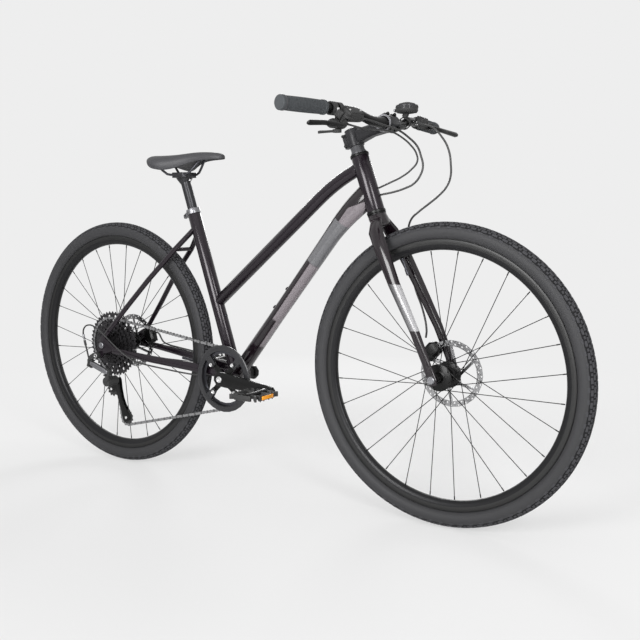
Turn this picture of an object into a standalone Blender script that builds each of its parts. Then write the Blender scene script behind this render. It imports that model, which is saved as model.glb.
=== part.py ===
"""A hybrid bicycle with a low sloping frame, disc brakes and one chainring, piece by piece.

Metres. +X is forward, +Y is the bicycle's left side, +Z is up. The chain is on the -Y side.
The origin is on the ground, half way between the two axles.
"""
import math

import bmesh
import bpy
from mathutils import Matrix, Vector

# Running and seating gap between pieces that touch
GAP = 0.0003
# A cord's end stands off what it enters, since its end face tilts with its first stretch
HOSE_GAP = 0.0018

# Wheels
WHEEL_SIDES = 36
WHEELBASE = 1.066
TYRE_OUTER_R = 0.358
TYRE_SECTION_R = 0.0235
TYRE_WALL = 0.0035
RIM_OUTER_R = 0.3175
RIM_INNER_R = 0.2925
RIM_HALF_WIDTH = 0.0125
RIM_FLANGE = 0.003
RIM_WELL = 0.008
SPOKE_COUNT = 28
SPOKE_R = 0.001
SPOKE_LACING = 2.55
SPOKE_STAGGER_HUB = 0.0019
SPOKE_STAGGER_RIM = 0.0011
HUB_FLANGE_R = 0.029
HUB_FLANGE_THICK = 0.003
HUB_SHELL_R = 0.0165
HUB_NOSE_R = 0.0135
FLANGE_RIGHT = 0.022
FLANGE_LEFT = 0.026
FRONT_HUB_HALF = 0.055
REAR_HUB_HALF = 0.0675
AXLE_R = 0.006
ROTOR_R = 0.080
ROTOR_BAND = 0.014
ROTOR_THICK = 0.0018
ROTOR_BOSS_R = 0.022
ROTOR_ARMS = 6
ROTOR_INSET = 0.0133
CALIPER_R = 0.071
REAR_CALIPER_ANGLE = math.radians(17)
FRONT_CALIPER_ANGLE = math.radians(137)
CALIPER_HALF = 0.024
CALIPER_THICK_HALF = 0.018

# Steering
HEAD_ANGLE = math.radians(71.0)
FORK_OFFSET = 0.0468
CROWN_ABOVE_TYRE = 0.0558
AXLE_TO_CROWN = TYRE_OUTER_R + CROWN_ABOVE_TYRE
HEAD_LENGTH = 0.150
HEAD_R = 0.0215
HEAD_BORE_R = 0.0178
STEERER_R = 0.0143
HEAD_SEAT = 0.012
SPACER_STACK = 0.020
SPACER_BASE_R = 0.0195
SPACER_R = 0.0168
STEM_CLAMP_R = 0.0195
STEM_CLAMP_HEIGHT = 0.040
STEM_REACH = 0.092
STEM_RISE = 0.029
BAR_CLAMP_R = 0.0159
BAR_END_R = 0.0111
BAR_HALF_WIDTH = 0.350
BAR_SWEEP = 0.057
BAR_RISE = 0.019
BAR_FLAT = 0.045
BAR_RISE_START = 0.058
BAR_RISE_LENGTH = 0.080
GRIP_LENGTH = 0.130
GRIP_R = 0.0160
FORK_HALF_SPAN = 0.0600
FORK_END_THICK = 0.008

# Frame
CHAINSTAY = 0.4498
BB_DROP = 0.058
SEAT_ANGLE = math.radians(72.1)
SEAT_TUBE_LENGTH = 0.459
SEAT_TUBE_R = 0.0176
SEATPOST_R = 0.0136
TOP_TUBE_R = 0.0158
TOP_TUBE_SEAT_HEIGHT = 0.205
TOP_TUBE_HEAD_DROP = 0.031
TOP_TUBE_BEND_BACK = 0.085
TOP_TUBE_NOSE_SLOPE = math.radians(25.0)
TOP_TUBE_BEND_LENGTH = 0.060
DOWN_TUBE_LOW_HALF = 0.0205
DOWN_TUBE_MID_HALF = 0.0186
DOWN_TUBE_KNEE_HALF = 0.0210
DOWN_TUBE_HEAD_HALF = 0.0302
DOWN_TUBE_HALF_WIDTH = 0.0195
DOWN_TUBE_HEAD_HEIGHT = 0.054
DOWN_TUBE_NOSE_SLOPE = math.radians(39.8)
DOWN_TUBE_BEND_BACK = 0.1015
DOWN_TUBE_BEND_LENGTH = 0.050
BB_SHELL_R = 0.0215
BB_SHELL_HALF = 0.0365
BB_CARTRIDGE_R = 0.0175
SPINDLE_R = 0.0085
SEATSTAY_R = 0.0075
SEATSTAY_TOP = 0.420
CHAINSTAY_HALF_WIDTH = 0.0085

# Saddle
POST_LENGTH = 0.345
POST_EXPOSED = 0.0945
SADDLE_LENGTH = 0.268
SADDLE_WIDTH = 0.146
SADDLE_ABOVE_POST = 0.0773
SADDLE_NOSE_AHEAD = 0.1391
SADDLE_SHELF = 0.018
RAIL_R = 0.0035
RAIL_HALF_SPAN = 0.022

# Drivetrain
PITCH = 0.0127
CHAINRING_TEETH = 40
CHAINRING_Y = 0.050
GUARD_R = 0.0905
GUARD_BAND = 0.015
GUARD_THICK = 0.0035
BOLT_CIRCLE_R = 0.052
COGS = (11, 13, 15, 18, 21, 26, 32, 38, 46)
COG_SPACING = 0.0041
COG_THICK = 0.0016
CORE_R = 0.0185
TOOTH_TIP = 0.0033
TOOTH_DEPTH = 0.0068
RING_HALF_THICK = 0.0009
RING_DEPTH = 0.014
SMALL_COG_Y = 0.0620
CHAIN_COG = 7
PULLEY_TEETH = 11
CHAIN_HALF_WIDTH = 0.0029
CHAIN_PLATE = 0.0013
CHAIN_PLATE_HALF = 0.0041
CHAIN_STRAIGHT = 0.09
CRANK_LENGTH = 0.170
CRANK_DROP = math.radians(3.8)
CRANK_Y_ROOT = 0.066
CRANK_Y_EYE = 0.078
CRANK_THICK = 0.014
PEDAL_WIDTH = 0.096
PEDAL_LENGTH = 0.090
PEDAL_THICK = 0.022
PEDAL_GAP = 0.007

# Key points, worked out from the sizes above
FRONT_AXLE = Vector((WHEELBASE / 2, 0, TYRE_OUTER_R))
REAR_AXLE = Vector((-WHEELBASE / 2, 0, TYRE_OUTER_R))
UP_HEAD = Vector((-math.cos(HEAD_ANGLE), 0, math.sin(HEAD_ANGLE)))
FORE_HEAD = Vector((math.sin(HEAD_ANGLE), 0, math.cos(HEAD_ANGLE)))
HEAD_BOTTOM = FRONT_AXLE + UP_HEAD * AXLE_TO_CROWN - FORE_HEAD * FORK_OFFSET
HEAD_TOP = HEAD_BOTTOM + UP_HEAD * HEAD_LENGTH
BB = REAR_AXLE + Vector((math.sqrt(CHAINSTAY ** 2 - BB_DROP ** 2), 0, -BB_DROP))
UP_SEAT = Vector((-math.cos(SEAT_ANGLE), 0, math.sin(SEAT_ANGLE)))
FORE_SEAT = Vector((math.sin(SEAT_ANGLE), 0, math.cos(SEAT_ANGLE)))
SEAT_TOP = BB + UP_SEAT * SEAT_TUBE_LENGTH
POST_TOP = SEAT_TOP + UP_SEAT * POST_EXPOSED
SADDLE_TOP = POST_TOP.z + SADDLE_ABOVE_POST
SADDLE_NOSE_X = POST_TOP.x + SADDLE_NOSE_AHEAD
X = Vector((1, 0, 0))
Y = Vector((0, 1, 0))
Z = Vector((0, 0, 1))
CHAIN_COG_Y = -(SMALL_COG_Y - CHAIN_COG * COG_SPACING)
RING_R = PITCH / (2 * math.sin(math.pi / CHAINRING_TEETH))
COG_R = PITCH / (2 * math.sin(math.pi / COGS[CHAIN_COG]))
PULLEY_R = PITCH / (2 * math.sin(math.pi / PULLEY_TEETH))
STEM_BASE = HEAD_TOP + UP_HEAD * SPACER_STACK
STEM_MID = STEM_BASE + UP_HEAD * (STEM_CLAMP_HEIGHT / 2)
BAR_CENTRE = STEM_MID + Vector((STEM_REACH, 0, STEM_RISE))

# Finishes: colour, roughness, metallic
FINISHES = {
    "frame_paint": ((0.012, 0.008, 0.012), 0.18, 0.0),
    "tyre_rubber": ((0.035, 0.036, 0.040), 0.85, 0.0),
    "rim_black": ((0.012, 0.012, 0.013), 0.35, 0.6),
    "spoke_black": ((0.03, 0.03, 0.03), 0.35, 0.8),
    "black_alloy": ((0.018, 0.018, 0.020), 0.38, 0.7),
    "black_plastic": ((0.018, 0.018, 0.020), 0.55, 0.0),
    "grip_rubber": ((0.045, 0.046, 0.050), 0.85, 0.0),
    "saddle_cover": ((0.035, 0.035, 0.038), 0.60, 0.0),
    "silver_steel": ((0.62, 0.62, 0.62), 0.28, 1.0),
    "dark_steel": ((0.06, 0.06, 0.065), 0.35, 0.9),
    "grey_alloy": ((0.22, 0.22, 0.23), 0.40, 0.8),
    "hose": ((0.02, 0.02, 0.02), 0.45, 0.0),
}


def clear_scene():
    for obj in list(bpy.data.objects):
        bpy.data.objects.remove(obj, do_unlink=True)


def finish_material(name):
    material = bpy.data.materials.get(name)
    if material is None:
        colour, roughness, metallic = FINISHES[name]
        material = bpy.data.materials.new(name)
        material.use_nodes = True
        shader = material.node_tree.nodes["Principled BSDF"]
        shader.inputs["Base Color"].default_value = (*colour, 1)
        shader.inputs["Roughness"].default_value = roughness
        shader.inputs["Metallic"].default_value = metallic
    return material


def pivot(name, place, parent=None):
    """An empty on a joint's axis, which the moving pieces hang from."""
    empty = bpy.data.objects.new(name, None)
    empty.empty_display_size = 0.03
    bpy.context.collection.objects.link(empty)
    empty["place"] = tuple(place)
    if parent is not None:
        empty.parent = parent
        empty.location = Vector(place) - Vector(parent["place"])
    else:
        empty.location = place
    return empty


def emit(name, bm, finish, parent=None, smooth=35):
    """Turn a closed bmesh in world places into a named object under its pivot."""
    bmesh.ops.remove_doubles(bm, verts=bm.verts, dist=0.000005)
    bmesh.ops.recalc_face_normals(bm, faces=bm.faces)
    if parent is not None:
        bmesh.ops.translate(bm, verts=bm.verts, vec=-Vector(parent["place"]))
    mesh = bpy.data.meshes.new(name)
    bm.to_mesh(mesh)
    bm.free()
    mesh.shade_smooth()
    mesh.set_sharp_from_angle(angle=math.radians(smooth))
    mesh.materials.append(finish_material(finish))
    obj = bpy.data.objects.new(name, mesh)
    bpy.context.collection.objects.link(obj)
    obj.parent = parent
    return obj


def combine(obj, tools, operation):
    """Apply an exact Boolean of obj with each tool object, then remove the tools."""
    for tool in tools:
        modifier = obj.modifiers.new(operation.title(), "BOOLEAN")
        modifier.operation = operation
        modifier.solver = "EXACT"
        modifier.use_self = True
        modifier.object = tool
        with bpy.context.temp_override(object=obj, active_object=obj, selected_objects=[obj]):
            bpy.ops.object.modifier_apply(modifier=modifier.name)
        bpy.data.objects.remove(tool, do_unlink=True)
    return obj


def frame_for(direction, side=Y):
    """Two unit vectors square to a direction: one in its plane, one along the side."""
    along = Vector(direction).normalized()
    across = (side - along * side.dot(along)).normalized()
    return across.cross(along), across


def ring(centre, up, across, half_up, half_across, sides, turn=0.0):
    points = []
    for i in range(sides):
        a = turn + 2 * math.pi * i / sides
        points.append(Vector(centre) + up * (half_up * math.cos(a)) + across * (half_across * math.sin(a)))
    return points


def box_ring(centre, up, across, half_up, half_across, corner=0.35):
    """A rounded rectangle of eight points."""
    cut_up = half_up * corner
    cut_across = half_across * corner
    outline = (
        (half_up, half_across - cut_across), (half_up - cut_up, half_across),
        (-half_up + cut_up, half_across), (-half_up, half_across - cut_across),
        (-half_up, -half_across + cut_across), (-half_up + cut_up, -half_across),
        (half_up - cut_up, -half_across), (half_up, -half_across + cut_across),
    )
    return [Vector(centre) + up * u + across * v for u, v in outline]


def loft(rings, closed=False):
    """Bridge rings of equal counts, with flat caps unless the loft closes on itself."""
    bm = bmesh.new()
    loops = [[bm.verts.new(p) for p in points] for points in rings]
    count = len(loops[0])
    last = len(loops) if closed else len(loops) - 1
    for k in range(last):
        a = loops[k]
        b = loops[(k + 1) % len(loops)]
        for i in range(count):
            j = (i + 1) % count
            bm.faces.new((a[i], a[j], b[j], b[i]))
    if not closed:
        bm.faces.new(loops[0])
        bm.faces.new(loops[-1])
    return bm


def sweep(path, halves, sides=12, side=Y, boxy=False, turn=0.0):
    """A solid along a path. halves gives (half height in plane, half width across) at each point."""
    rings = []
    for i, point in enumerate(path):
        before = Vector(path[max(i - 1, 0)])
        after = Vector(path[min(i + 1, len(path) - 1)])
        up, across = frame_for(after - before, side)
        half_up, half_across = halves[i] if isinstance(halves, list) else halves
        if boxy:
            rings.append(box_ring(point, up, across, half_up, half_across))
        else:
            rings.append(ring(point, up, across, half_up, half_across, sides, turn))
    return loft(rings)


def turned(profile, centre, axis, segments, closed=False):
    """Turn a profile of (radius, distance along the axis) points. A closed profile keeps a bore."""
    axis = Vector(axis).normalized()
    helper = X if abs(axis.x) < 0.9 else Z
    up = (helper - axis * helper.dot(axis)).normalized()
    across = axis.cross(up)
    rings = [ring(Vector(centre) + axis * h, up, across, r, r, segments) for r, h in profile]
    return loft(rings, closed)


def rod(start, end, radius, segments=12):
    start = Vector(start)
    end = Vector(end)
    return turned([(radius, 0), (radius, (end - start).length)], start, end - start, segments)


def sleeve(start, end, outer, bore, segments=20):
    """A tube with open ends."""
    start = Vector(start)
    end = Vector(end)
    length = (end - start).length
    profile = [(outer, 0), (outer, length), (bore, length), (bore, 0)]
    return turned(profile, start, end - start, segments, closed=True)


def scratch(bm):
    """A tool object for a Boolean."""
    return emit("tool", bm, "black_alloy")


def smooth_route(points, step):
    """Points every step along a smooth curve that passes through the route's own points."""
    knots = [Vector(p) for p in points]
    ends = [knots[0] * 2 - knots[1]] + knots + [knots[-1] * 2 - knots[-2]]
    fine = []
    for i in range(1, len(ends) - 2):
        p0, p1, p2, p3 = ends[i - 1:i + 3]
        for k in range(24):
            t = k / 24
            fine.append(
                0.5 * ((2 * p1) + (p2 - p0) * t + (2 * p0 - 5 * p1 + 4 * p2 - p3) * t ** 2
                       + (3 * p1 - p0 - 3 * p2 + p3) * t ** 3)
            )
    fine.append(knots[-1])
    length = sum((b - a).length for a, b in zip(fine, fine[1:]))
    count = max(2, round(length / step))
    result = [fine[0]]
    gone = 0.0
    for a, b in zip(fine, fine[1:]):
        span = (b - a).length
        while len(result) < count and gone + span >= length * len(result) / count:
            share = (length * len(result) / count - gone) / span
            result.append(a.lerp(b, share))
        gone += span
    result.append(knots[-1])
    return result


def cable(name, route, radius, parent=None, step=0.036):
    """A hose or housing: a round tube with filled ends along its route."""
    curve = bpy.data.curves.new(name, "CURVE")
    curve.dimensions = "3D"
    curve.bevel_depth = radius
    curve.bevel_resolution = 2
    curve.use_fill_caps = True
    points = smooth_route(route, step)
    spline = curve.splines.new("POLY")
    spline.points.add(len(points) - 1)
    origin = Vector(parent["place"]) if parent is not None else Vector()
    for point, place in zip(spline.points, points):
        point.co = (*(place - origin), 1)
    curve.materials.append(finish_material("hose"))
    obj = bpy.data.objects.new(name, curve)
    bpy.context.collection.objects.link(obj)
    obj.parent = parent
    return obj


def mirror_y(point):
    return Vector((point[0], -point[1], point[2]))


# Wheels


def rim(name, axle, parent):
    well_r = RIM_OUTER_R - RIM_WELL
    inner = RIM_HALF_WIDTH - RIM_FLANGE
    profile = [
        (RIM_OUTER_R, -RIM_HALF_WIDTH), (RIM_OUTER_R, -inner), (well_r, -inner), (well_r, inner),
        (RIM_OUTER_R, inner), (RIM_OUTER_R, RIM_HALF_WIDTH), (RIM_INNER_R, RIM_HALF_WIDTH * 0.5),
        (RIM_INNER_R, -RIM_HALF_WIDTH * 0.5),
    ]
    return emit(name, turned(profile, axle, Y, WHEEL_SIDES, closed=True), "rim_black", parent)


def tyre(name, axle, parent):
    """An open casing: its two beads sit inside the rim's flanges."""
    middle = TYRE_OUTER_R - TYRE_SECTION_R
    bead = RIM_HALF_WIDTH - RIM_FLANGE - GAP
    bead_low = RIM_OUTER_R - RIM_WELL + GAP
    outer = []
    for degrees in (-42, 0, 48, 90, 132, 180, 222):
        a = math.radians(degrees)
        outer.append((middle + TYRE_SECTION_R * math.sin(a), TYRE_SECTION_R * math.cos(a)))
    inner = []
    for degrees in (190, 90, -10):
        a = math.radians(degrees)
        r = TYRE_SECTION_R - TYRE_WALL
        inner.append((middle + r * math.sin(a), r * math.cos(a)))
    lip = RIM_OUTER_R + 0.0006
    profile = [(bead_low, bead), (lip, bead)] + outer + [(lip, -bead), (bead_low, -bead)]
    neck = lip + 0.003
    profile += [(bead_low, -bead + TYRE_WALL), (neck, -bead + TYRE_WALL)] + inner
    profile += [(neck, bead - TYRE_WALL), (bead_low, bead - TYRE_WALL)]
    return emit(name, turned(profile, axle, Y, WHEEL_SIDES, closed=True), "tyre_rubber", parent)


def hub(name, axle, half, parent):
    """Hub shell with its laced spokes, bored for the axle."""
    bore = AXLE_R + GAP
    right = -FLANGE_RIGHT
    left = FLANGE_LEFT
    rotor_seat = half - ROTOR_INSET - GAP
    thick = HUB_FLANGE_THICK
    profile = [
        (bore, -half + GAP), (HUB_NOSE_R, -half + GAP), (HUB_NOSE_R, right - thick),
        (HUB_FLANGE_R + 0.003, right - thick), (HUB_FLANGE_R + 0.003, right), (HUB_SHELL_R, right + 0.006),
        (HUB_SHELL_R, left - 0.006), (HUB_FLANGE_R + 0.003, left), (HUB_FLANGE_R + 0.003, left + thick),
        (ROTOR_BOSS_R, left + thick), (ROTOR_BOSS_R, rotor_seat), (HUB_NOSE_R, rotor_seat),
        (HUB_NOSE_R, half - GAP), (bore, half - GAP),
    ]
    shell = emit(name, turned(profile, axle, Y, 16, closed=True), "black_alloy", parent)
    laced = bmesh.new()
    reach = RIM_INNER_R * math.cos(math.pi / WHEEL_SIDES) - SPOKE_R
    per_side = SPOKE_COUNT // 2
    for side, flange in ((-1, right - thick / 2), (1, left + thick / 2)):
        for k in range(per_side):
            turn = 1 if k % 2 else -1
            rim_angle = 2 * math.pi * (k + (0.25 if side > 0 else -0.25)) / per_side
            hub_angle = rim_angle + turn * SPOKE_LACING * 2 * math.pi / per_side
            start = axle + Vector((
                HUB_FLANGE_R * math.cos(hub_angle), flange + turn * SPOKE_STAGGER_HUB, HUB_FLANGE_R * math.sin(hub_angle)))
            end = axle + Vector((
                reach * math.cos(rim_angle), 0.0025 * side + turn * SPOKE_STAGGER_RIM, reach * math.sin(rim_angle)))
            bar = rod(start, end, SPOKE_R, 3)
            copy = bpy.data.meshes.new("spoke")
            bmesh.ops.recalc_face_normals(bar, faces=bar.faces)
            bar.to_mesh(copy)
            bar.free()
            laced.from_mesh(copy)
            bpy.data.meshes.remove(copy)
    lacing = emit("tool", laced, "spoke_black", parent)
    return combine(shell, [lacing], "UNION")


def toothed(radius, teeth, depth, y_low, y_high, centre, phase=0.0):
    """A disc whose rim has triangular teeth, as two rings of points."""
    rings = []
    for y in (y_low, y_high):
        points = []
        for i in range(teeth * 2):
            a = math.pi * i / teeth + phase
            r = radius if i % 2 else radius - depth
            points.append(Vector(centre) + Vector((r * math.cos(a), y, r * math.sin(a))))
        rings.append(points)
    return rings


def band(centre, outer, inner, y_low, y_high, segments):
    """A flat ring about an axis along Y."""
    profile = [(outer, y_low), (outer, y_high), (inner, y_high), (inner, y_low)]
    return turned(profile, centre, Y, segments, closed=True)


def rotor(name, axle, half, parent):
    y = half - ROTOR_INSET
    low = y - GAP / 2
    high = low + ROTOR_THICK
    inner = ROTOR_R - ROTOR_BAND
    disc = emit(name, band(axle, ROTOR_R, inner, low, high, 24), "silver_steel", parent)
    boss = band(axle, ROTOR_BOSS_R + 0.004, HUB_NOSE_R + GAP * 2, low, high, 16)
    tools = [emit("tool", boss, "silver_steel", parent)]
    for k in range(ROTOR_ARMS):
        a = 2 * math.pi * k / ROTOR_ARMS
        b = a + math.radians(32)
        from_r = ROTOR_BOSS_R + 0.001
        to_r = inner + 0.004
        start = axle + Vector((from_r * math.cos(a), (low + high) / 2, from_r * math.sin(a)))
        end = axle + Vector((to_r * math.cos(b), (low + high) / 2, to_r * math.sin(b)))
        up, across = frame_for(end - start)
        half_thick = ROTOR_THICK / 2 - 0.0001
        arm = loft([box_ring(p, up, across, 0.0035, half_thick, 0.2) for p in (start, end)])
        tools.append(emit("tool", arm, "silver_steel", parent))
    return combine(disc, tools, "UNION")


def axle_rod(name, axle, half, end_thick, parent=None):
    """Through axle with a head outside each dropout."""
    reach = half + end_thick
    profile = [
        (0.0085, -reach - 0.004), (0.0085, -reach - GAP), (AXLE_R, -reach - GAP),
        (AXLE_R, reach + GAP), (0.0085, reach + GAP), (0.0085, reach + 0.004),
    ]
    return emit(name, turned(profile, axle, Y, 14), "dark_steel", parent)


def caliper(name, axle, out, rotor_y, seat, carriers, parent):
    """Brake caliper, slotted for its rotor, with a bracket that seats on the frame or the fork."""
    centre = axle + out * CALIPER_R + Y * rotor_y
    along = Y.cross(out)
    sections = ((-CALIPER_HALF, 0.010, 0.009), (-CALIPER_HALF * 0.6, CALIPER_THICK_HALF, 0.012),
                (CALIPER_HALF * 0.6, CALIPER_THICK_HALF, 0.012), (CALIPER_HALF, 0.010, 0.009))
    body = [box_ring(centre + along * u, out, Y, half_out, half_y) for u, half_out, half_y in sections]
    obj = emit(name, loft(body), "black_alloy", parent)
    near = Vector((centre.x, centre.y + 0.006, centre.z))
    arm = [box_ring(p, along, Y, 0.010, 0.0055) for p in (near, seat)]
    combine(obj, [emit("tool", loft(arm), "black_alloy", parent)], "UNION")
    cutters = [emit("tool", carrier, "black_alloy", parent) for carrier in carriers]
    top = ROTOR_R + 0.0015 - CALIPER_R
    slot = [box_ring(centre + along * u + out * (top - 0.020), out, Y, 0.020, 0.0022, 0.05)
            for u in (-0.06, 0.06)]
    cutters.append(emit("tool", loft(slot), "black_alloy", parent))
    return combine(obj, cutters, "DIFFERENCE")


# Frame


def head_tube():
    """Bored tube, with a closer seat for the steerer at each end."""
    seat = STEERER_R + GAP
    profile = [
        (HEAD_R, GAP), (HEAD_R, HEAD_LENGTH - GAP), (seat, HEAD_LENGTH - GAP), (seat, HEAD_LENGTH - HEAD_SEAT),
        (HEAD_BORE_R, HEAD_LENGTH - HEAD_SEAT), (HEAD_BORE_R, HEAD_SEAT), (seat, HEAD_SEAT), (seat, GAP),
    ]
    return emit("head_tube", turned(profile, HEAD_BOTTOM, UP_HEAD, 20, closed=True), "frame_paint")


def cut_round(obj, centre, axis, radius, reach=0.3, segments=20):
    """Cope a tube's end to the round tube that it is welded to."""
    axis = Vector(axis).normalized()
    tool = rod(Vector(centre) - axis * reach, Vector(centre) + axis * reach, radius + GAP, segments)
    return combine(obj, [scratch(tool)], "DIFFERENCE")


def bent_path(low, nose, slope, back, length, steps):
    """A tube's centre line: straight from its low end, then one bend up to the nose."""
    behind = Vector((-math.cos(slope), 0, -math.sin(slope)))
    corner = nose + behind * back
    before = corner + (low - corner).normalized() * length
    after = corner + (nose - corner).normalized() * length
    path = [low]
    for k in range(steps + 1):
        t = k / steps
        path.append(before * (1 - t) ** 2 + corner * (2 * t * (1 - t)) + after * t ** 2)
    path.append(nose)
    return path


def top_tube():
    low = BB + UP_SEAT * TOP_TUBE_SEAT_HEIGHT
    nose = HEAD_TOP - UP_HEAD * TOP_TUBE_HEAD_DROP
    path = bent_path(low, nose, TOP_TUBE_NOSE_SLOPE, TOP_TUBE_BEND_BACK, TOP_TUBE_BEND_LENGTH, 5)
    halves = [(TOP_TUBE_R, TOP_TUBE_R)] * (len(path) - 1) + [(TOP_TUBE_R * 1.1, TOP_TUBE_R)]
    obj = emit("top_tube", sweep(path, halves, 16), "frame_paint")
    cut_round(obj, HEAD_BOTTOM, UP_HEAD, HEAD_R)
    return cut_round(obj, BB, UP_SEAT, SEAT_TUBE_R, 0.6)


def down_tube_nose():
    return HEAD_BOTTOM + UP_HEAD * DOWN_TUBE_HEAD_HEIGHT


def down_tube():
    """It swells towards the head tube, where it bends up to meet it."""
    nose = down_tube_nose()
    bend = bent_path(BB, nose, DOWN_TUBE_NOSE_SLOPE, DOWN_TUBE_BEND_BACK, DOWN_TUBE_BEND_LENGTH, 4)
    path = bend[:1] + [bend[0].lerp(bend[1], 0.45), bend[0].lerp(bend[1], 0.80)] + bend[1:]
    halves = [(DOWN_TUBE_LOW_HALF, DOWN_TUBE_HALF_WIDTH), (DOWN_TUBE_MID_HALF, DOWN_TUBE_HALF_WIDTH),
              (DOWN_TUBE_KNEE_HALF * 0.95, DOWN_TUBE_HALF_WIDTH)]
    for k in range(6):
        half = DOWN_TUBE_KNEE_HALF + (DOWN_TUBE_HEAD_HALF - DOWN_TUBE_KNEE_HALF) * k / 5
        halves.append((half, DOWN_TUBE_HALF_WIDTH))
    obj = emit("down_tube", sweep(path, halves, 16), "frame_paint")
    for place in BOSS_PLACES:
        combine(obj, [scratch(boss_cutter(place))], "UNION")
    cut_round(obj, HEAD_BOTTOM, UP_HEAD, HEAD_R)
    cut_round(obj, BB, Y, BB_SHELL_R, 0.1)
    return cut_round(obj, BB, UP_SEAT, SEAT_TUBE_R, 0.6)


# Bottle cage bosses on the down tube, as distances from the bottom bracket
BOSS_SPACING = 0.064
BOSS_START = 0.235
BOSS_PLACES = (BOSS_START, BOSS_START + BOSS_SPACING)
BOSS_R = 0.0055
BOSS_HEIGHT = 0.0015


def boss_cutter(place):
    """A bottle cage boss that stands on the down tube's upper side."""
    path = bent_path(BB, down_tube_nose(), DOWN_TUBE_NOSE_SLOPE, DOWN_TUBE_BEND_BACK, DOWN_TUBE_BEND_LENGTH, 4)
    along = (path[1] - path[0]).normalized()
    out = Y.cross(along) * -1
    base = BB + along * place
    return rod(base, base + out * (DOWN_TUBE_KNEE_HALF + BOSS_HEIGHT), BOSS_R, 10)


def seat_tube():
    bore = SEATPOST_R + GAP
    start = BB_SHELL_R + 0.004
    profile = [(SEAT_TUBE_R, start - 0.02), (SEAT_TUBE_R, SEAT_TUBE_LENGTH), (bore, SEAT_TUBE_LENGTH),
               (bore, start - 0.02)]
    obj = emit("seat_tube", turned(profile, BB, UP_SEAT, 20, closed=True), "frame_paint")
    return cut_round(obj, BB, Y, BB_SHELL_R, 0.1)


def bottom_bracket_shell():
    start = BB - Y * BB_SHELL_HALF
    end = BB + Y * BB_SHELL_HALF
    return emit("bottom_bracket_shell", sleeve(start, end, BB_SHELL_R, BB_CARTRIDGE_R + GAP, 20), "frame_paint")


def bottom_bracket_cartridge():
    reach = BB_SHELL_HALF + 0.003
    start = BB - Y * reach
    end = BB + Y * reach
    return emit("bottom_bracket_cartridge", sleeve(start, end, BB_CARTRIDGE_R, SPINDLE_R + GAP, 20), "dark_steel")


# Chainstay route as (distance ahead of the rear axle, distance out from the middle, drop below the axle)
CHAINSTAY_ROUTE = (
    (0.435, 0.027, 0.051, 0.0140, 0.0085), (0.370, 0.0325, 0.046, 0.0135, 0.0085),
    (0.312, 0.0405, 0.039, 0.0125, 0.0085), (0.180, 0.0560, 0.028, 0.0105, 0.0080),
    (0.090, 0.0645, 0.0185, 0.0095, 0.0070), (0.044, 0.0730, 0.013, 0.0090, 0.0052),
)
DROPOUT_THICK = 0.0080
CHAINSTAY_LEFT_LIFT = 0.006

# Seatstay points from the rear axle (ahead, out, up) for each side: foot on the dropout, middle, bridge
SEATSTAY_FOOT = {-1: (0.010, 0.026), 1: (0.032, 0.030)}
SEATSTAY_MIDDLE = {-1: (0.173, 0.050, 0.197), 1: (0.186, 0.050, 0.212)}
SEATSTAY_BRIDGE = (0.261, 0.034, 0.282)
SEATSTAY_FOOT_HALF = 0.0075


def stay_foot(side):
    """The seatstay's seat on the dropout's upper edge, and the stay's direction there."""
    ahead, up = SEATSTAY_FOOT[side]
    foot = REAR_AXLE + Vector((ahead, side * (REAR_HUB_HALF + GAP + DROPOUT_THICK / 2), up))
    ahead, out, up = SEATSTAY_MIDDLE[side]
    middle = REAR_AXLE + Vector((ahead, side * out, up))
    run = Vector((middle.x - foot.x, 0, middle.z - foot.z)).normalized()
    return foot, middle, run


def chainstay_blank(side, grow=0.0):
    path = []
    halves = []
    lifts = (0.0, 0.4, 0.8, 1.0, 0.8, 0.3)
    for (ahead, out, drop, half_high, half_wide), share in zip(CHAINSTAY_ROUTE, lifts):
        lift = CHAINSTAY_LEFT_LIFT * share if side > 0 else 0.0
        path.append(REAR_AXLE + Vector((ahead, side * out, lift - drop)))
        halves.append((half_high + grow, half_wide + grow))
    return sweep(path, halves, 12)


def chainstay(name, side):
    obj = emit(name, chainstay_blank(side), "frame_paint")
    inner = REAR_HUB_HALF + GAP
    outer = inner + DROPOUT_THICK
    foot, middle, run = stay_foot(side)
    square = Vector((run.z, 0, -run.x)) * (SEATSTAY_FOOT_HALF + 0.001)
    seat = [(p.x - REAR_AXLE.x, p.z - REAR_AXLE.z) for p in (foot + square, foot - square)]
    outline = [(0.052, -0.020), (0.052, -0.004)] + seat
    outline += [(-0.014, 0.014), (-0.016, -0.004)]
    if side < 0:
        outline += [(-0.022, -0.020), (-0.022, -0.038), (-0.008, -0.040), (0.006, -0.022)]
    else:
        outline += [(-0.010, -0.016), (0.010, -0.018)]
    rings = [[REAR_AXLE + Vector((x, side * y, z)) for x, z in outline] for y in (inner, outer)]
    combine(obj, [scratch(loft(rings))], "UNION")
    reach = REAR_HUB_HALF + 0.02
    hole = rod(REAR_AXLE + Y * (side * (reach - 0.03)), REAR_AXLE + Y * (side * reach), AXLE_R + GAP, 14)
    combine(obj, [scratch(hole)], "DIFFERENCE")
    return cut_round(obj, BB, Y, BB_SHELL_R, 0.1)


def seatstay_blank(side, grow=0.0):
    top = BB + UP_SEAT * SEATSTAY_TOP + Y * (side * 0.010)
    foot, middle, run = stay_foot(side)
    ahead, out, up = SEATSTAY_BRIDGE
    high = REAR_AXLE + Vector((ahead, side * out, up))
    path = [foot + run * GAP, foot + run * 0.015, foot.lerp(middle, 0.5) + Y * (side * 0.003), middle, high, top]
    thin = (SEATSTAY_FOOT_HALF + grow, DROPOUT_THICK / 2 + grow)
    full = (SEATSTAY_R + grow, SEATSTAY_R * 0.9 + grow)
    return sweep(path, [thin, thin, full, full, full, full], 10)


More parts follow.
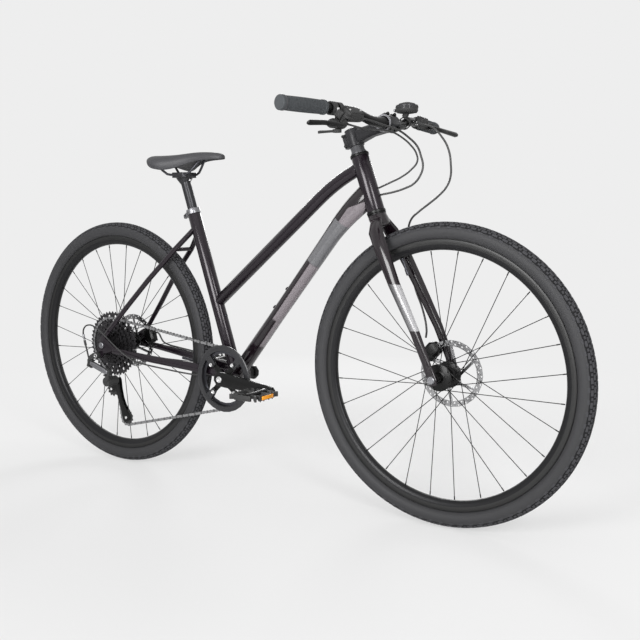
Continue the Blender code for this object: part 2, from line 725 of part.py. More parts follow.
def seatstay(name, side):
    """From the dropout up to the seat tube. The left one carries the bridge over the tyre."""
    obj = emit(name, seatstay_blank(side), "frame_paint")
    if side > 0:
        ahead, out, up = SEATSTAY_BRIDGE
        left = REAR_AXLE + Vector((ahead, out, up))
        right = REAR_AXLE + Vector((ahead, -out + SEATSTAY_R + 0.0025, up))
        combine(obj, [scratch(rod(left, right, 0.0055, 10))], "UNION")
    return cut_round(obj, BB, UP_SEAT, SEAT_TUBE_R, 0.6)


def seat_clamp():
    base = SEAT_TOP + UP_SEAT * GAP
    ring_solid = sleeve(base, base + UP_SEAT * 0.014, SEAT_TUBE_R + 0.0015, SEATPOST_R + GAP, 20)
    collar = emit("seat_clamp", ring_solid, "black_alloy")
    middle = base + UP_SEAT * 0.007
    ear = [box_ring(middle - FORE_SEAT * 0.0158, UP_SEAT, Y, 0.0060, 0.007),
           box_ring(middle - FORE_SEAT * 0.0215 - UP_SEAT * 0.001, UP_SEAT, Y, 0.0065, 0.007),
           box_ring(middle - FORE_SEAT * 0.0340 - UP_SEAT * 0.004, UP_SEAT, Y, 0.0055, 0.006)]
    combine(collar, [scratch(loft(ear))], "UNION")
    bolt = middle - FORE_SEAT * 0.0275 - UP_SEAT * 0.0025
    return combine(collar, [scratch(rod(bolt - Y * 0.02, bolt + Y * 0.02, 0.0032, 10))], "DIFFERENCE")


# Fork and steering


def fork(parent):
    seat = HEAD_BOTTOM - UP_HEAD * GAP
    steerer_top = HEAD_LENGTH + SPACER_STACK + STEM_CLAMP_HEIGHT
    steerer = turned([(STEERER_R, -0.02), (STEERER_R, steerer_top)], seat, UP_HEAD, 16)
    obj = emit("fork", steerer, "frame_paint", parent)
    crown = []
    for drop, ahead, half_x, half_y in (
        (0.0, 0.0, HEAD_R, HEAD_R), (0.008, 0.0, 0.0225, 0.0230), (0.018, 0.002, 0.0222, 0.0270),
        (0.027, 0.004, 0.0190, 0.0330), (0.033, 0.005, 0.0120, 0.0350),
    ):
        crown.append(ring(seat - UP_HEAD * drop + FORE_HEAD * ahead, FORE_HEAD, Y, half_x, half_y, 14))
    tools = [emit("tool", loft(crown), "frame_paint", parent)]
    for side in (-1, 1):
        tools.append(emit("tool", fork_leg(side), "frame_paint", parent))
    combine(obj, tools, "UNION")
    reach = FRONT_HUB_HALF + 0.03
    hole = rod(FRONT_AXLE - Y * reach, FRONT_AXLE + Y * reach, AXLE_R + GAP, 14)
    return combine(obj, [emit("tool", hole, "frame_paint", parent)], "DIFFERENCE")


def fork_leg(side, grow=0.0):
    """One blade: it leaves the crown wide and runs down and forward to a flat end."""
    half = FRONT_HUB_HALF + GAP + FORK_END_THICK / 2
    flat = FORK_END_THICK / 2
    crown = HEAD_BOTTOM - UP_HEAD * 0.020
    stations = (
        (crown + FORE_HEAD * 0.003 + Y * side * 0.0180, 0.0162, 0.0100),
        (FRONT_AXLE + Vector((-0.160, side * 0.0375, 0.333)), 0.0192, 0.0122),
        (FRONT_AXLE + Vector((-0.138, side * 0.0480, 0.293)), 0.0180, 0.0130),
        (FRONT_AXLE + Vector((-0.099, side * 0.0575, 0.214)), 0.0148, 0.0115),
        (FRONT_AXLE + Vector((-0.044, side * FORK_HALF_SPAN, 0.108)), 0.0122, 0.0082),
        (FRONT_AXLE + Vector((-0.013, side * half, 0.034)), 0.0110, flat),
        (FRONT_AXLE + Vector((0.001, side * half, -0.002)), 0.0125, flat),
        (FRONT_AXLE + Vector((0.005, side * half, -0.013)), 0.0085, flat),
    )
    path = [s[0] for s in stations]
    halves = [(s[1] + grow, s[2] + grow) for s in stations]
    return sweep(path, halves, 10)


def headset_spacers(parent):
    base = HEAD_TOP + UP_HEAD * GAP
    top = HEAD_TOP + UP_HEAD * (SPACER_STACK - GAP)
    profile = [
        (SPACER_BASE_R, 0), (SPACER_BASE_R, 0.003), (SPACER_R, 0.008), (SPACER_R, (top - base).length),
        (STEERER_R + GAP, (top - base).length), (STEERER_R + GAP, 0),
    ]
    return emit("headset_spacers", turned(profile, base, UP_HEAD, 20, closed=True), "black_alloy", parent)


def stem(parent):
    top = STEM_BASE + UP_HEAD * STEM_CLAMP_HEIGHT
    obj = emit("stem", sleeve(STEM_BASE, top, STEM_CLAMP_R, STEERER_R + GAP, 16), "black_alloy", parent)
    along = (BAR_CENTRE - STEM_MID).normalized()
    face = BAR_CENTRE - along * (GAP * 2)
    start = STEM_MID + along * (STEERER_R + 0.001)
    up, across = frame_for(along)
    arm = [
        box_ring(start, up, across, 0.0170, 0.0170), box_ring(start.lerp(face, 0.45), up, across, 0.0138, 0.0155),
        box_ring(face - along * 0.016, up, across, 0.0165, 0.0200), box_ring(face, up, across, 0.0195, 0.0210),
    ]
    tools = [emit("tool", loft(arm), "black_alloy", parent)]
    back = STEM_MID - FORE_HEAD * (STEM_CLAMP_R + 0.003)
    ears = [box_ring(back + UP_HEAD * h, FORE_HEAD, Y, 0.0065, 0.0090) for h in (-0.017, 0.017)]
    tools.append(emit("tool", loft(ears), "black_alloy", parent))
    combine(obj, tools, "UNION")
    bores = [rod(STEM_BASE - UP_HEAD * 0.02, top + UP_HEAD * 0.02, STEERER_R + GAP * 2, 16)]
    bores.append(rod(BAR_CENTRE - Y * 0.06, BAR_CENTRE + Y * 0.06, BAR_CLAMP_R + GAP, 16))
    return combine(obj, [emit("tool", b, "black_alloy", parent) for b in bores], "DIFFERENCE")


def stem_faceplate(parent):
    along = (BAR_CENTRE - STEM_MID).normalized()
    up, across = frame_for(along)
    face = BAR_CENTRE + along * GAP
    plate = [
        box_ring(face, up, across, 0.0200, 0.0210), box_ring(face + along * 0.010, up, across, 0.0172, 0.0205),
        box_ring(face + along * 0.0195, up, across, 0.0090, 0.0200),
    ]
    obj = emit("stem_faceplate", loft(plate), "black_alloy", parent)
    bore = rod(BAR_CENTRE - Y * 0.06, BAR_CENTRE + Y * 0.06, BAR_CLAMP_R + GAP, 16)
    return combine(obj, [emit("tool", bore, "black_alloy", parent)], "DIFFERENCE")


def bar_point(reach):
    """The bar's centre line at a distance out from the middle, on the left side."""
    back = BAR_SWEEP * max(reach - BAR_FLAT, 0.0) / (BAR_HALF_WIDTH - BAR_FLAT)
    share = min(max(reach - BAR_RISE_START, 0.0) / BAR_RISE_LENGTH, 1.0)
    rise = BAR_RISE * share * share * (3 - 2 * share)
    return BAR_CENTRE + Vector((-back, reach, rise))


def bar_on(side, reach):
    point = bar_point(reach)
    return Vector((point.x, side * point.y, point.z))


def bar_direction(side, reach):
    return (bar_on(side, reach + 0.01) - bar_on(side, reach - 0.01)).normalized()


def handlebar(parent):
    half = BAR_HALF_WIDTH - 0.003
    rises = [BAR_RISE_START + BAR_RISE_LENGTH * share for share in (0.0, 0.25, 0.5, 0.75, 1.0)]
    reaches = [0.0, 0.0235, 0.029] + rises + [half]
    radii = [BAR_CLAMP_R, BAR_CLAMP_R, 0.0136, 0.0122, 0.0114] + [BAR_END_R] * 4
    path = [bar_on(-1, r) for r in reversed(reaches[1:])] + [bar_on(1, r) for r in reaches]
    sizes = [(r, r) for r in list(reversed(radii[1:])) + list(radii)]
    return emit("handlebar", sweep(path, sizes, 12, side=Z), "black_alloy", parent)


def grip(name, side, parent):
    """Closed end, a slight flare, and a lock ring at the inner end."""
    inner = BAR_HALF_WIDTH - GRIP_LENGTH
    direction = bar_direction(side, 0.3)
    base = bar_on(side, inner)
    length = (bar_on(side, BAR_HALF_WIDTH) - base).length
    bore = BAR_END_R + GAP
    depth = (bar_on(side, BAR_HALF_WIDTH - 0.003) - base).length + GAP
    profile = [
        (GRIP_R + 0.0015, 0), (GRIP_R + 0.0015, 0.008), (GRIP_R - 0.0005, 0.010),
        (GRIP_R + 0.0012, length - 0.008), (GRIP_R, length - 0.002), (GRIP_R - 0.004, length),
    ]
    outside = turned(profile, base, direction, 16)
    obj = emit(name, outside, "grip_rubber", parent)
    hole = rod(base - direction * 0.01, base + direction * depth, bore, 16)
    return combine(obj, [emit("tool", hole, "grip_rubber", parent)], "DIFFERENCE")


# Brake levers: places along the bar and out from it, and how far each slopes down
LEVER_CLAMP_REACH = BAR_HALF_WIDTH - 0.154
LEVER_CLAMP_HALF = 0.0065
LEVER_PIVOT_REACH = BAR_HALF_WIDTH - 0.160
LEVER_PIVOT_OUT = 0.0405
LEVER_TIP_REACH = BAR_HALF_WIDTH - 0.020
LEVER_TIP_OUT = 0.0735
LEVER_PIN_R = 0.0025
LEVER_SLOPE = {-1: math.radians(41.0), 1: math.radians(18.0)}
LEVER_TIP_SLOPE = {-1: math.radians(36.0), 1: math.radians(18.0)}
CYLINDER_REACH = BAR_HALF_WIDTH - 0.225
CYLINDER_OUT = 0.026


def lever_out(side):
    """From the bar towards the lever pin."""
    return Vector((math.cos(LEVER_SLOPE[side]), 0, -math.sin(LEVER_SLOPE[side])))


def lever_axis(side):
    """The lever pin, square to the lever's pull towards the bar."""
    out = lever_out(side)
    return Vector((-out.z, 0, out.x))


def lever_pivot(side):
    return bar_on(side, LEVER_PIVOT_REACH) + lever_out(side) * LEVER_PIVOT_OUT


def hose_port(side):
    """Where a brake hose leaves the master cylinder's inner end."""
    return bar_on(side, CYLINDER_REACH - HOSE_GAP) + lever_out(side) * CYLINDER_OUT


def lever_body(name, side, parent):
    direction = bar_direction(side, LEVER_CLAMP_REACH)
    middle = bar_on(side, LEVER_CLAMP_REACH)
    clamp = sleeve(middle - direction * LEVER_CLAMP_HALF, middle + direction * LEVER_CLAMP_HALF,
                   BAR_END_R + 0.004, BAR_END_R + GAP, 16)
    obj = emit(name, clamp, "black_alloy", parent)
    out = lever_out(side)
    up = lever_axis(side)
    # The master cylinder lies ahead of the bar, from beside the stem to the lever pin
    cylinder = []
    for reach, ahead, half in (
        (CYLINDER_REACH, CYLINDER_OUT, 0.0060), (CYLINDER_REACH + 0.010, 0.027, 0.0095),
        (LEVER_PIVOT_REACH - 0.014, 0.029, 0.0103), (LEVER_PIVOT_REACH - 0.0060, 0.030, 0.0098),
    ):
        cylinder.append(ring(bar_on(side, reach) + out * ahead, up, out, half, half, 12))
    tools = [emit("tool", loft(cylinder), "black_alloy", parent)]
    foot = bar_on(side, LEVER_CLAMP_REACH - 0.012)
    neck = [box_ring(foot + out * (BAR_END_R + 0.0015) + direction * 0.010, up, direction, 0.008, 0.007),
            box_ring(foot + out * 0.026, up, direction, 0.008, 0.007)]
    tools.append(emit("tool", loft(neck), "black_alloy", parent))
    pin = lever_pivot(side)
    for sign in (-1, 1):
        ear = []
        for along, half in ((-0.016, 0.008), (0.004, 0.0065)):
            centre = pin + Y * side * along + up * (sign * 0.0075) - out * 0.001
            ear.append(box_ring(centre, up, out, 0.0018, half))
        tools.append(emit("tool", loft(ear), "black_alloy", parent))
    tools.append(emit("tool", rod(pin - up * 0.0088, pin + up * 0.0088, LEVER_PIN_R, 10), "black_alloy", parent))
    return combine(obj, tools, "UNION")


def lever_blade(name, side, parent):
    """Two finger blade, bored for its pin."""
    pin = lever_pivot(side)
    out = lever_out(side)
    up = lever_axis(side)
    slope = LEVER_TIP_SLOPE[side]
    tip = bar_on(side, LEVER_TIP_REACH) + Vector((math.cos(slope), 0, -math.sin(slope))) * LEVER_TIP_OUT
    bend = bar_on(side, LEVER_PIVOT_REACH + 0.032) + out * (LEVER_TIP_OUT - 0.012)
    path = [pin - Y * side * 0.0042, pin + Y * side * 0.010 + out * 0.006, bend, bend.lerp(tip, 0.5) - out * 0.004,
            tip, tip + Y * side * 0.008 + out * 0.001]
    halves = [(0.0050, 0.0050), (0.0050, 0.0050), (0.0045, 0.0055), (0.0040, 0.0060), (0.0045, 0.0065),
              (0.0025, 0.0040)]
    rings = []
    for i, point in enumerate(path):
        along = (path[min(i + 1, len(path) - 1)] - path[max(i - 1, 0)]).normalized()
        across = (up - along * up.dot(along)).normalized()
        rings.append(ring(point, along.cross(across), across, halves[i][0], halves[i][1], 8))
    obj = emit(name, loft(rings), "black_alloy", parent)
    hole = rod(pin - up * 0.02, pin + up * 0.02, LEVER_PIN_R + GAP, 12)
    return combine(obj, [emit("tool", hole, "black_alloy", parent)], "DIFFERENCE")


# Shifter: a pod under the bar on the right, with a thumb lever that turns on a boss
SHIFTER_REACH = BAR_HALF_WIDTH - 0.178
SHIFTER_BOSS_R = 0.004
SHIFTER_DROP = 0.031
POD_HALF = 0.024
THUMB_LENGTH = 0.042


def shifter_centre():
    return bar_on(-1, SHIFTER_REACH) + Vector((-0.0065, 0, -SHIFTER_DROP))


def shift_port():
    """Where the shift cable leaves the pod's inner end."""
    return shifter_centre() + Vector((0.009, POD_HALF + HOSE_GAP, 0.001))


def shifter(parent):
    middle = bar_on(-1, SHIFTER_REACH + 0.004)
    direction = bar_direction(-1, SHIFTER_REACH)
    clamp = sleeve(middle - direction * 0.005, middle + direction * 0.005, BAR_END_R + 0.0035, BAR_END_R + GAP, 16)
    obj = emit("shifter", clamp, "black_plastic", parent)
    centre = shifter_centre()
    pod = []
    for reach, half_x, half_z in ((-POD_HALF, 0.012, 0.006), (-POD_HALF * 0.7, 0.017, 0.011),
                                  (POD_HALF * 0.7, 0.017, 0.011), (POD_HALF, 0.012, 0.006)):
        pod.append(ring(centre + Y * reach, X, Z, half_x, half_z, 12))
    tools = [emit("tool", loft(pod), "black_plastic", parent)]
    neck = [box_ring(middle - Z * d, X, Y, 0.007, 0.0048) for d in (BAR_END_R + 0.002, 0.024)]
    tools.append(emit("tool", loft(neck), "black_plastic", parent))
    boss = rod(centre - Z * 0.006, centre - Z * 0.0195, SHIFTER_BOSS_R, 12)
    tools.append(emit("tool", boss, "black_plastic", parent))
    return combine(obj, tools, "UNION")


def thumb_lever(parent):
    centre = shifter_centre() - Z * 0.0155
    hub_ring = sleeve(centre - Z * 0.0035, centre + Z * 0.0035, 0.010, SHIFTER_BOSS_R + GAP, 14)
    obj = emit("shift_lever", hub_ring, "black_plastic", parent)
    aim = Vector((-0.62, -0.78, -0.08)).normalized()
    up, across = frame_for(aim, Z)
    paddle = []
    for along, half_across, half_up in ((0.0065, 0.006, 0.0025), (THUMB_LENGTH * 0.6, 0.0065, 0.0025),
                                        (THUMB_LENGTH, 0.0085, 0.003)):
        paddle.append(box_ring(centre + aim * along, across, up, half_up, half_across))
    return combine(obj, [emit("tool", loft(paddle), "black_plastic", parent)], "UNION")


# Bell: base strap, dome and striker
BELL_REACH = BAR_HALF_WIDTH - 0.250
BELL_R = 0.0275
BELL_HEIGHT = 0.024
BELL_RISE = 0.023
BELL_AHEAD = 0.006


def bell_top():
    return bar_on(1, BELL_REACH) + Vector((BELL_AHEAD, 0, BELL_RISE))


def bell(parent):
    direction = bar_direction(1, BELL_REACH)
    middle = bar_on(1, BELL_REACH)
    strap = sleeve(middle - direction * 0.007, middle + direction * 0.007, BAR_END_R + 0.0042, BAR_END_R + 0.0018, 16)
    obj = emit("bell", strap, "black_plastic", parent)
    base = bell_top()
    post = rod(middle + Z * (BAR_END_R + 0.0026), base + Z * 0.004, 0.0075, 10)
    dome = turned([(0.012, -0.001), (BELL_R - 0.003, 0.001), (BELL_R, 0.006), (BELL_R - 0.001, 0.015),
                   (0.019, BELL_HEIGHT - 0.001), (0.007, BELL_HEIGHT + 0.002)], base, Z, 20)
    return combine(obj, [emit("tool", b, "black_plastic", parent) for b in (post, dome)], "UNION")


def striker_pin():
    return bell_top() + Vector((-BELL_R - 0.0025, 0, 0.008))


def bell_striker(parent):
    """A sprung thumb tab at the dome's foot."""
    pin = striker_pin()
    stations = ((-0.010, 0.003), (0.0, 0.0045), (0.010, 0.003))
    tab = [box_ring(pin + Y * d, X, Z, 0.0018, half) for d, half in stations]
    return emit("bell_striker", loft(tab), "black_plastic", parent)


# Hoses and housings


def millimetres(*points):
    return [Vector(p) * 0.001 for p in points]


def head_port(height):
    """A hose's way in at the head tube's front left, at a height above its lower end."""
    out = FORE_HEAD * math.cos(math.radians(42)) + Y * math.sin(math.radians(42))
    return HEAD_BOTTOM + UP_HEAD * height + out * (HEAD_R + HOSE_GAP)


def front_hose_route():
    """From the left lever, round in front, past the crown and down the back of the left leg."""
    return [hose_port(1)] + millimetres(
        (394.2, 112, 953.4), (399, 100, 952.4), (418, 97, 948.5), (447, 99, 940), (476, 100, 912), (492, 100, 884), (499, 99, 848),
        (501, 93, 818), (495, 84, 795), (481, 72, 775), (462, 61, 757), (441, 51, 739), (420, 50, 720),
        (408, 57, 690), (406, 67, 650), (407, 71, 620), (421, 67, 560), (446, 64, 500), (460, 56, 455),
        (463, 47, 438),
    )


def rear_hose_route():
    """From the right lever, round in front of the stem, into the head tube."""
    return [hose_port(-1)] + millimetres(
        (389, -112, 943.5), (396, -92, 940), (410, -52, 932), (417, -12, 926), (428, 18, 911), (442, 37, 890), (449, 43, 867),
        (453, 45, 846), (449, 43, 826), (433, 38, 804), (412, 31, 793), (387, 23, 785),
    ) + [head_port(0.042)]


def shift_front_route():
    """From the shifter, along under the brake hose, into the head tube above it."""
    return [shift_port()] + millimetres(
        (386, -112, 923), (397, -66, 923), (404, -22, 922), (413, 10, 912), (427, 33, 893), (436, 44, 874),
        (437, 47, 856), (423, 45, 838), (399, 38, 820), (376, 28, 808),
    ) + [head_port(0.059)]


def rear_shift_route():
    """Under the right chainstay, up across the dropout, round behind the cassette, to the derailleur."""
    return millimetres(
        (-186, -33, 298), (-206, -38, 297), (-240, -47, 300), (-277, -55, 304.5), (-316, -63, 309.5),
        (-362, -73, 316.5), (-395, -79, 323), (-421, -84, 335), (-464, -88, 362), (-512, -89, 395),
        (-545, -89, 413), (-571, -88, 417), (-592, -87, 408), (-600, -85.5, 390),
    ) + [ferrule_top() + Z * HOSE_GAP]


def rear_hose_tail_route():
    """Along the top of the left chainstay, then up and round to the rear caliper's front face."""
    return millimetres(
        (-195, 37, 335.5), (-221, 40.5, 339.1), (-287, 48.5, 344.4), (-353, 56, 349.5), (-395, 60, 354.0),
        (-417, 60, 361.5), (-425, 58, 374), (-429.5, 56, 384), (-436, 55.1, 388),
    ) + [rear_hose_port()]


def caliper_out(angle):
    """From a wheel's axle towards its caliper."""
    return Vector((math.cos(angle), 0, math.sin(angle)))


def rotor_middle(half):
    """How far out from the wheel's middle plane its rotor runs."""
    return half - ROTOR_INSET + ROTOR_THICK / 2


def rear_hose_port():
    """Where the rear hose meets its caliper."""
    out = caliper_out(REAR_CALIPER_ANGLE)
    return REAR_AXLE + out * (CALIPER_R + CALIPER_THICK_HALF + HOSE_GAP) + Y * rotor_middle(REAR_HUB_HALF)


# Drivetrain


def cassette(parent):
    """Cogs on one core, bored to ride on the hub's nose."""
    bore = HUB_NOSE_R + GAP
    outer_y = -(SMALL_COG_Y + COG_THICK / 2 + 0.001)
    inner_y = -(SMALL_COG_Y - (len(COGS) - 1) * COG_SPACING - COG_THICK / 2 - 0.0005)
    core = turned([(CORE_R, outer_y), (CORE_R, inner_y)], REAR_AXLE, Y, 12)
    obj = emit("cassette", core, "dark_steel", parent)
    tools = []
    for k, teeth in enumerate(COGS):
        r = PITCH / (2 * math.sin(math.pi / teeth))
        y = -(SMALL_COG_Y - k * COG_SPACING)
        phase = math.pi / teeth * (k % 2)
        rings = toothed(r + TOOTH_TIP, teeth, TOOTH_DEPTH, y - COG_THICK / 2, y + COG_THICK / 2, REAR_AXLE, phase)
        tools.append(emit("tool", loft(rings), "dark_steel", parent))
    combine(obj, tools, "UNION")
    hole = rod(REAR_AXLE + Y * (outer_y - 0.01), REAR_AXLE + Y * (inner_y + 0.01), bore, 16)
    return combine(obj, [emit("tool", hole, "dark_steel", parent)], "DIFFERENCE")


def chainring(parent):
    """Toothed ring with four bolt tabs."""
    y = -CHAINRING_Y
    half = RING_HALF_THICK
    rings = toothed(RING_R + TOOTH_TIP, CHAINRING_TEETH, TOOTH_DEPTH, y - half, y + half, BB)
    obj = emit("chainring", loft(rings), "dark_steel", parent)
    inside = rod(BB + Y * (y - 0.01), BB + Y * (y + 0.01), RING_R - RING_DEPTH, 24)
    combine(obj, [emit("tool", inside, "dark_steel", parent)], "DIFFERENCE")
    tabs = []
    for out, turn in arm_directions():
        stations = ((BOLT_CIRCLE_R - 0.006, 0.006), (RING_R - RING_DEPTH + 0.003, 0.012))
        tab = [box_ring(BB + out * r + Y * y, turn, Y, w, half, 0.1) for r, w in stations]
        tabs.append(emit("tool", loft(tab), "dark_steel", parent))
    return combine(obj, tabs, "UNION")


def arm_directions():
    """Outward and sideways directions of the crank's four arms."""
    result = []
    for k in range(4):
        a = math.pi / 4 + k * math.pi / 2
        result.append((Vector((math.cos(a), 0, math.sin(a))), Vector((-math.sin(a), 0, math.cos(a)))))
    return result


def chain_guard(parent):
    y = -(CHAINRING_Y + CHAIN_HALF_WIDTH + 0.0016)
    inner_r = GUARD_R - GUARD_BAND
    profile = [
        (GUARD_R, y), (GUARD_R, y - GUARD_THICK * 0.6), (GUARD_R - 0.004, y - GUARD_THICK),
        (inner_r, y - GUARD_THICK), (inner_r, y),
    ]
    obj = emit("chain_guard", turned(profile, BB, Y, 28, closed=True), "black_plastic", parent)
    tabs = []
    for out, turn in arm_directions():
        middle = BB + Y * (y - 0.0013)
        stations = ((BOLT_CIRCLE_R - 0.007, 0.007), (inner_r + 0.002, 0.010))
        tab = [box_ring(middle + out * r, turn, Y, w, 0.0012, 0.1) for r, w in stations]
        tabs.append(emit("tool", loft(tab), "black_plastic", parent))
    return combine(obj, tabs, "UNION")


def crank_direction(side):
    """Right arm points forward and a little down, left arm opposite."""
    return Vector((math.cos(CRANK_DROP), 0, -math.sin(CRANK_DROP))) * (1 if side < 0 else -1)


def crank_eye(side):
    return BB + crank_direction(side) * CRANK_LENGTH + Y * (side * CRANK_Y_EYE)


def crank_arm(side, parent, name):
    along = crank_direction(side)
    root = BB + Y * (side * CRANK_Y_ROOT)
    eye = crank_eye(side)
    up = Y.cross(along)
    half = CRANK_THICK / 2
    stations = ((root - along * 0.019, 0.009), (root - along * 0.011, 0.018), (root + along * 0.016, 0.0195),
                (root.lerp(eye, 0.55), 0.0150), (eye - along * 0.006, 0.0140), (eye + along * 0.010, 0.0105),
                (eye + along * 0.0145, 0.005))
    rings = [box_ring(p, up, Y, h, half, 0.4) for p, h in stations]
    return emit(name, loft(rings), "black_alloy", parent)


def crank_right(parent):
    obj = crank_arm(-1, parent, "crank_right")
    inner = BB_SHELL_HALF + 0.004
    tools = [emit("tool", rod(BB - Y * inner, BB - Y * (CRANK_Y_ROOT - 0.002), 0.0165, 16), "black_alloy", parent)]
    y = -(CHAINRING_Y + RING_HALF_THICK + GAP + 0.00085)
    for out, turn in arm_directions():
        arm = [
            box_ring(BB + out * 0.008 + Y * (y - 0.003), turn, Y, 0.010, 0.0035, 0.3),
            box_ring(BB + out * 0.036 + Y * (y - 0.0006), turn, Y, 0.0075, 0.0014, 0.3),
            box_ring(BB + out * (BOLT_CIRCLE_R + 0.006) + Y * (y - 0.0007), turn, Y, 0.0065, 0.0015, 0.2),
        ]
        tools.append(emit("tool", loft(arm), "black_alloy", parent))
    combine(obj, tools, "UNION")
    cutters = [rod(BB, BB - Y * (CRANK_Y_ROOT + 0.004), SPINDLE_R + GAP, 16), pedal_hole(-1)]
    return combine(obj, [emit("tool", c, "black_alloy", parent) for c in cutters], "DIFFERENCE")


def pedal_hole(side):
    eye = crank_eye(side)
    return rod(eye - Y * (side * 0.02), eye + Y * (side * 0.02), PEDAL_AXLE_R + GAP, 14)


PEDAL_AXLE_R = 0.0060


def crank_left(parent):
    """Left arm with the spindle that passes through the bottom bracket."""
    obj = crank_arm(1, parent, "crank_left")
    spindle = rod(BB - Y * (CRANK_Y_ROOT + 0.003), BB + Y * CRANK_Y_ROOT, SPINDLE_R, 16)
    boss = rod(BB + Y * (BB_SHELL_HALF + 0.004), BB + Y * CRANK_Y_ROOT, 0.0150, 18)
    combine(obj, [emit("tool", b, "black_alloy", parent) for b in (spindle, boss)], "UNION")
    return combine(obj, [emit("tool", pedal_hole(1), "black_alloy", parent)], "DIFFERENCE")


def pedal(name, side, parent):
    """Platform cage round a spindle housing, with its stub axle in the crank eye."""
    eye = crank_eye(side)
    start = eye.y + side * (CRANK_THICK / 2 + PEDAL_GAP)
    end = start + side * PEDAL_WIDTH
    middle = Vector((eye.x, (start + end) / 2, eye.z))
    half_l = PEDAL_LENGTH / 2
    half_w = PEDAL_WIDTH / 2
    outer = [
        (half_l, half_w - 0.022), (half_l - 0.015, half_w), (-half_l + 0.015, half_w), (-half_l, half_w - 0.022),
        (-half_l, -half_w + 0.022), (-half_l + 0.015, -half_w), (half_l - 0.015, -half_w), (half_l, -half_w + 0.022),
    ]
    wall = 0.011
    scale_l = (half_l - wall) / half_l
    scale_w = (half_w - wall) / half_w
    rings = []
    for h, inside in ((-1, False), (1, False), (1, True), (-1, True)):
        points = []
        for x, y in outer:
            if inside:
                x *= scale_l
                y *= scale_w
            points.append(middle + Vector((x, y, h * PEDAL_THICK / 2)))
        rings.append(points)
    obj = emit(name, loft(rings, closed=True), "black_plastic", parent)
    inner_end = eye - Y * (side * (CRANK_THICK / 2 - 0.001))
    outer_end = Vector((eye.x, end - side * 0.006, eye.z))
    tools = [rod(Vector((eye.x, start + side * 0.006, eye.z)), outer_end, 0.0095, 14)]
    tools.append(rod(inner_end, Vector((eye.x, start + side * 0.010, eye.z)), PEDAL_AXLE_R, 14))
    return combine(obj, [emit("tool", t, "black_plastic", parent) for t in tools], "UNION")


# Rear derailleur places
GUIDE_OFFSET = Vector((-0.005, 0, -0.136))
TENSION_OFFSET = Vector((0.053, 0, -0.216))
CAGE_PIVOT_OFFSET = Vector((0.018, 0, -0.106))
LINK_LENGTH = 0.068
LINK_END_OFFSET = Vector((0.007, 0, 0.029))
DRUM_R = 0.0140
PULLEY_TOOTH_TIP = 0.0015


def derailleur_root():
    return REAR_AXLE + Vector((-0.015, -(REAR_HUB_HALF + GAP + DROPOUT_THICK + GAP), -0.030))


def link_start():
    root = derailleur_root()
    return root + Vector((-0.024, -0.006, -0.026))


def link_axis():
    """The link turns about an axis square to its own run, in the bicycle's plane."""
    run = link_run()
    return Vector((-run.z, 0, run.x)).normalized()


def link_run():
    far = REAR_AXLE + CAGE_PIVOT_OFFSET + LINK_END_OFFSET
    start = link_start()
    return Vector((far.x - start.x, 0, far.z - start.z)).normalized()


def ferrule_top():
    return derailleur_root() + Vector((-0.049, -0.008, 0.042))


def derailleur_body():
    """Fixed knuckle bolted to the hanger, reaching back to the link, with the cable's ferrule above it."""
    root = derailleur_root()
    boss = rod(root, root - Y * 0.012, 0.0095, 14)
    obj = emit("derailleur_body", boss, "black_alloy")
    start = link_start()
    arm = [box_ring(root + Vector((0, -0.0065, 0)), Z, Y, 0.0080, 0.0055),
           box_ring(root + Vector((-0.012, -0.0065, -0.002)), Z, Y, 0.0090, 0.0060),
           box_ring(root + Vector((-0.027, -0.0058, -0.008)), Z, Y, 0.0070, 0.0057),
           box_ring(start + Vector((-0.0130, 0.0005, 0.0075)), Z, Y, 0.0055, 0.0055)]
    run = link_run()
    axis = link_axis()
    fork_ends = []
    for sign in (-1, 1):
        centre = start + axis * (sign * 0.0105)
        fork_ends.append(loft([box_ring(centre + run * d, axis, Y, 0.0022, 0.0060) for d in (-0.0125, 0.005)]))
    back = start - run * 0.0105
    yoke = loft([box_ring(back + axis * d, run, Y, 0.0030, 0.0057) for d in (-0.0127, 0.0127)])
    pin = rod(start - axis * 0.011, start + axis * 0.011, 0.0022, 10)
    top = ferrule_top()
    low = start + Vector((-0.0095, -0.0005, 0.009))
    aim = (top - low).normalized()
    boot = rod(low, top - aim * 0.012, 0.0024, 8)
    ferrule = rod(top - aim * 0.016, top, 0.0036, 10)
    parts = [loft(arm), *fork_ends, yoke, pin, boot, ferrule]
    return combine(obj, [scratch(p) for p in parts], "UNION")


def derailleur_link(parent):
    start = link_start()
    run = link_run()
    axis = link_axis()
    end = start + run * LINK_LENGTH
    stations = ((start - run * 0.005, 0.0060, 0.0045), (start + run * 0.010, 0.0078, 0.0050),
                (end - run * 0.012, 0.0078, 0.0050), (end + run * 0.003, 0.0055, 0.0040))
    plate = [box_ring(p, axis, Y, h, w, 0.3) for p, h, w in stations]
    obj = emit("derailleur_link", loft(plate), "grey_alloy", parent)
    hole = rod(start - axis * 0.02, start + axis * 0.02, 0.0022 + GAP, 12)
    return combine(obj, [emit("tool", hole, "grey_alloy", parent)], "DIFFERENCE")


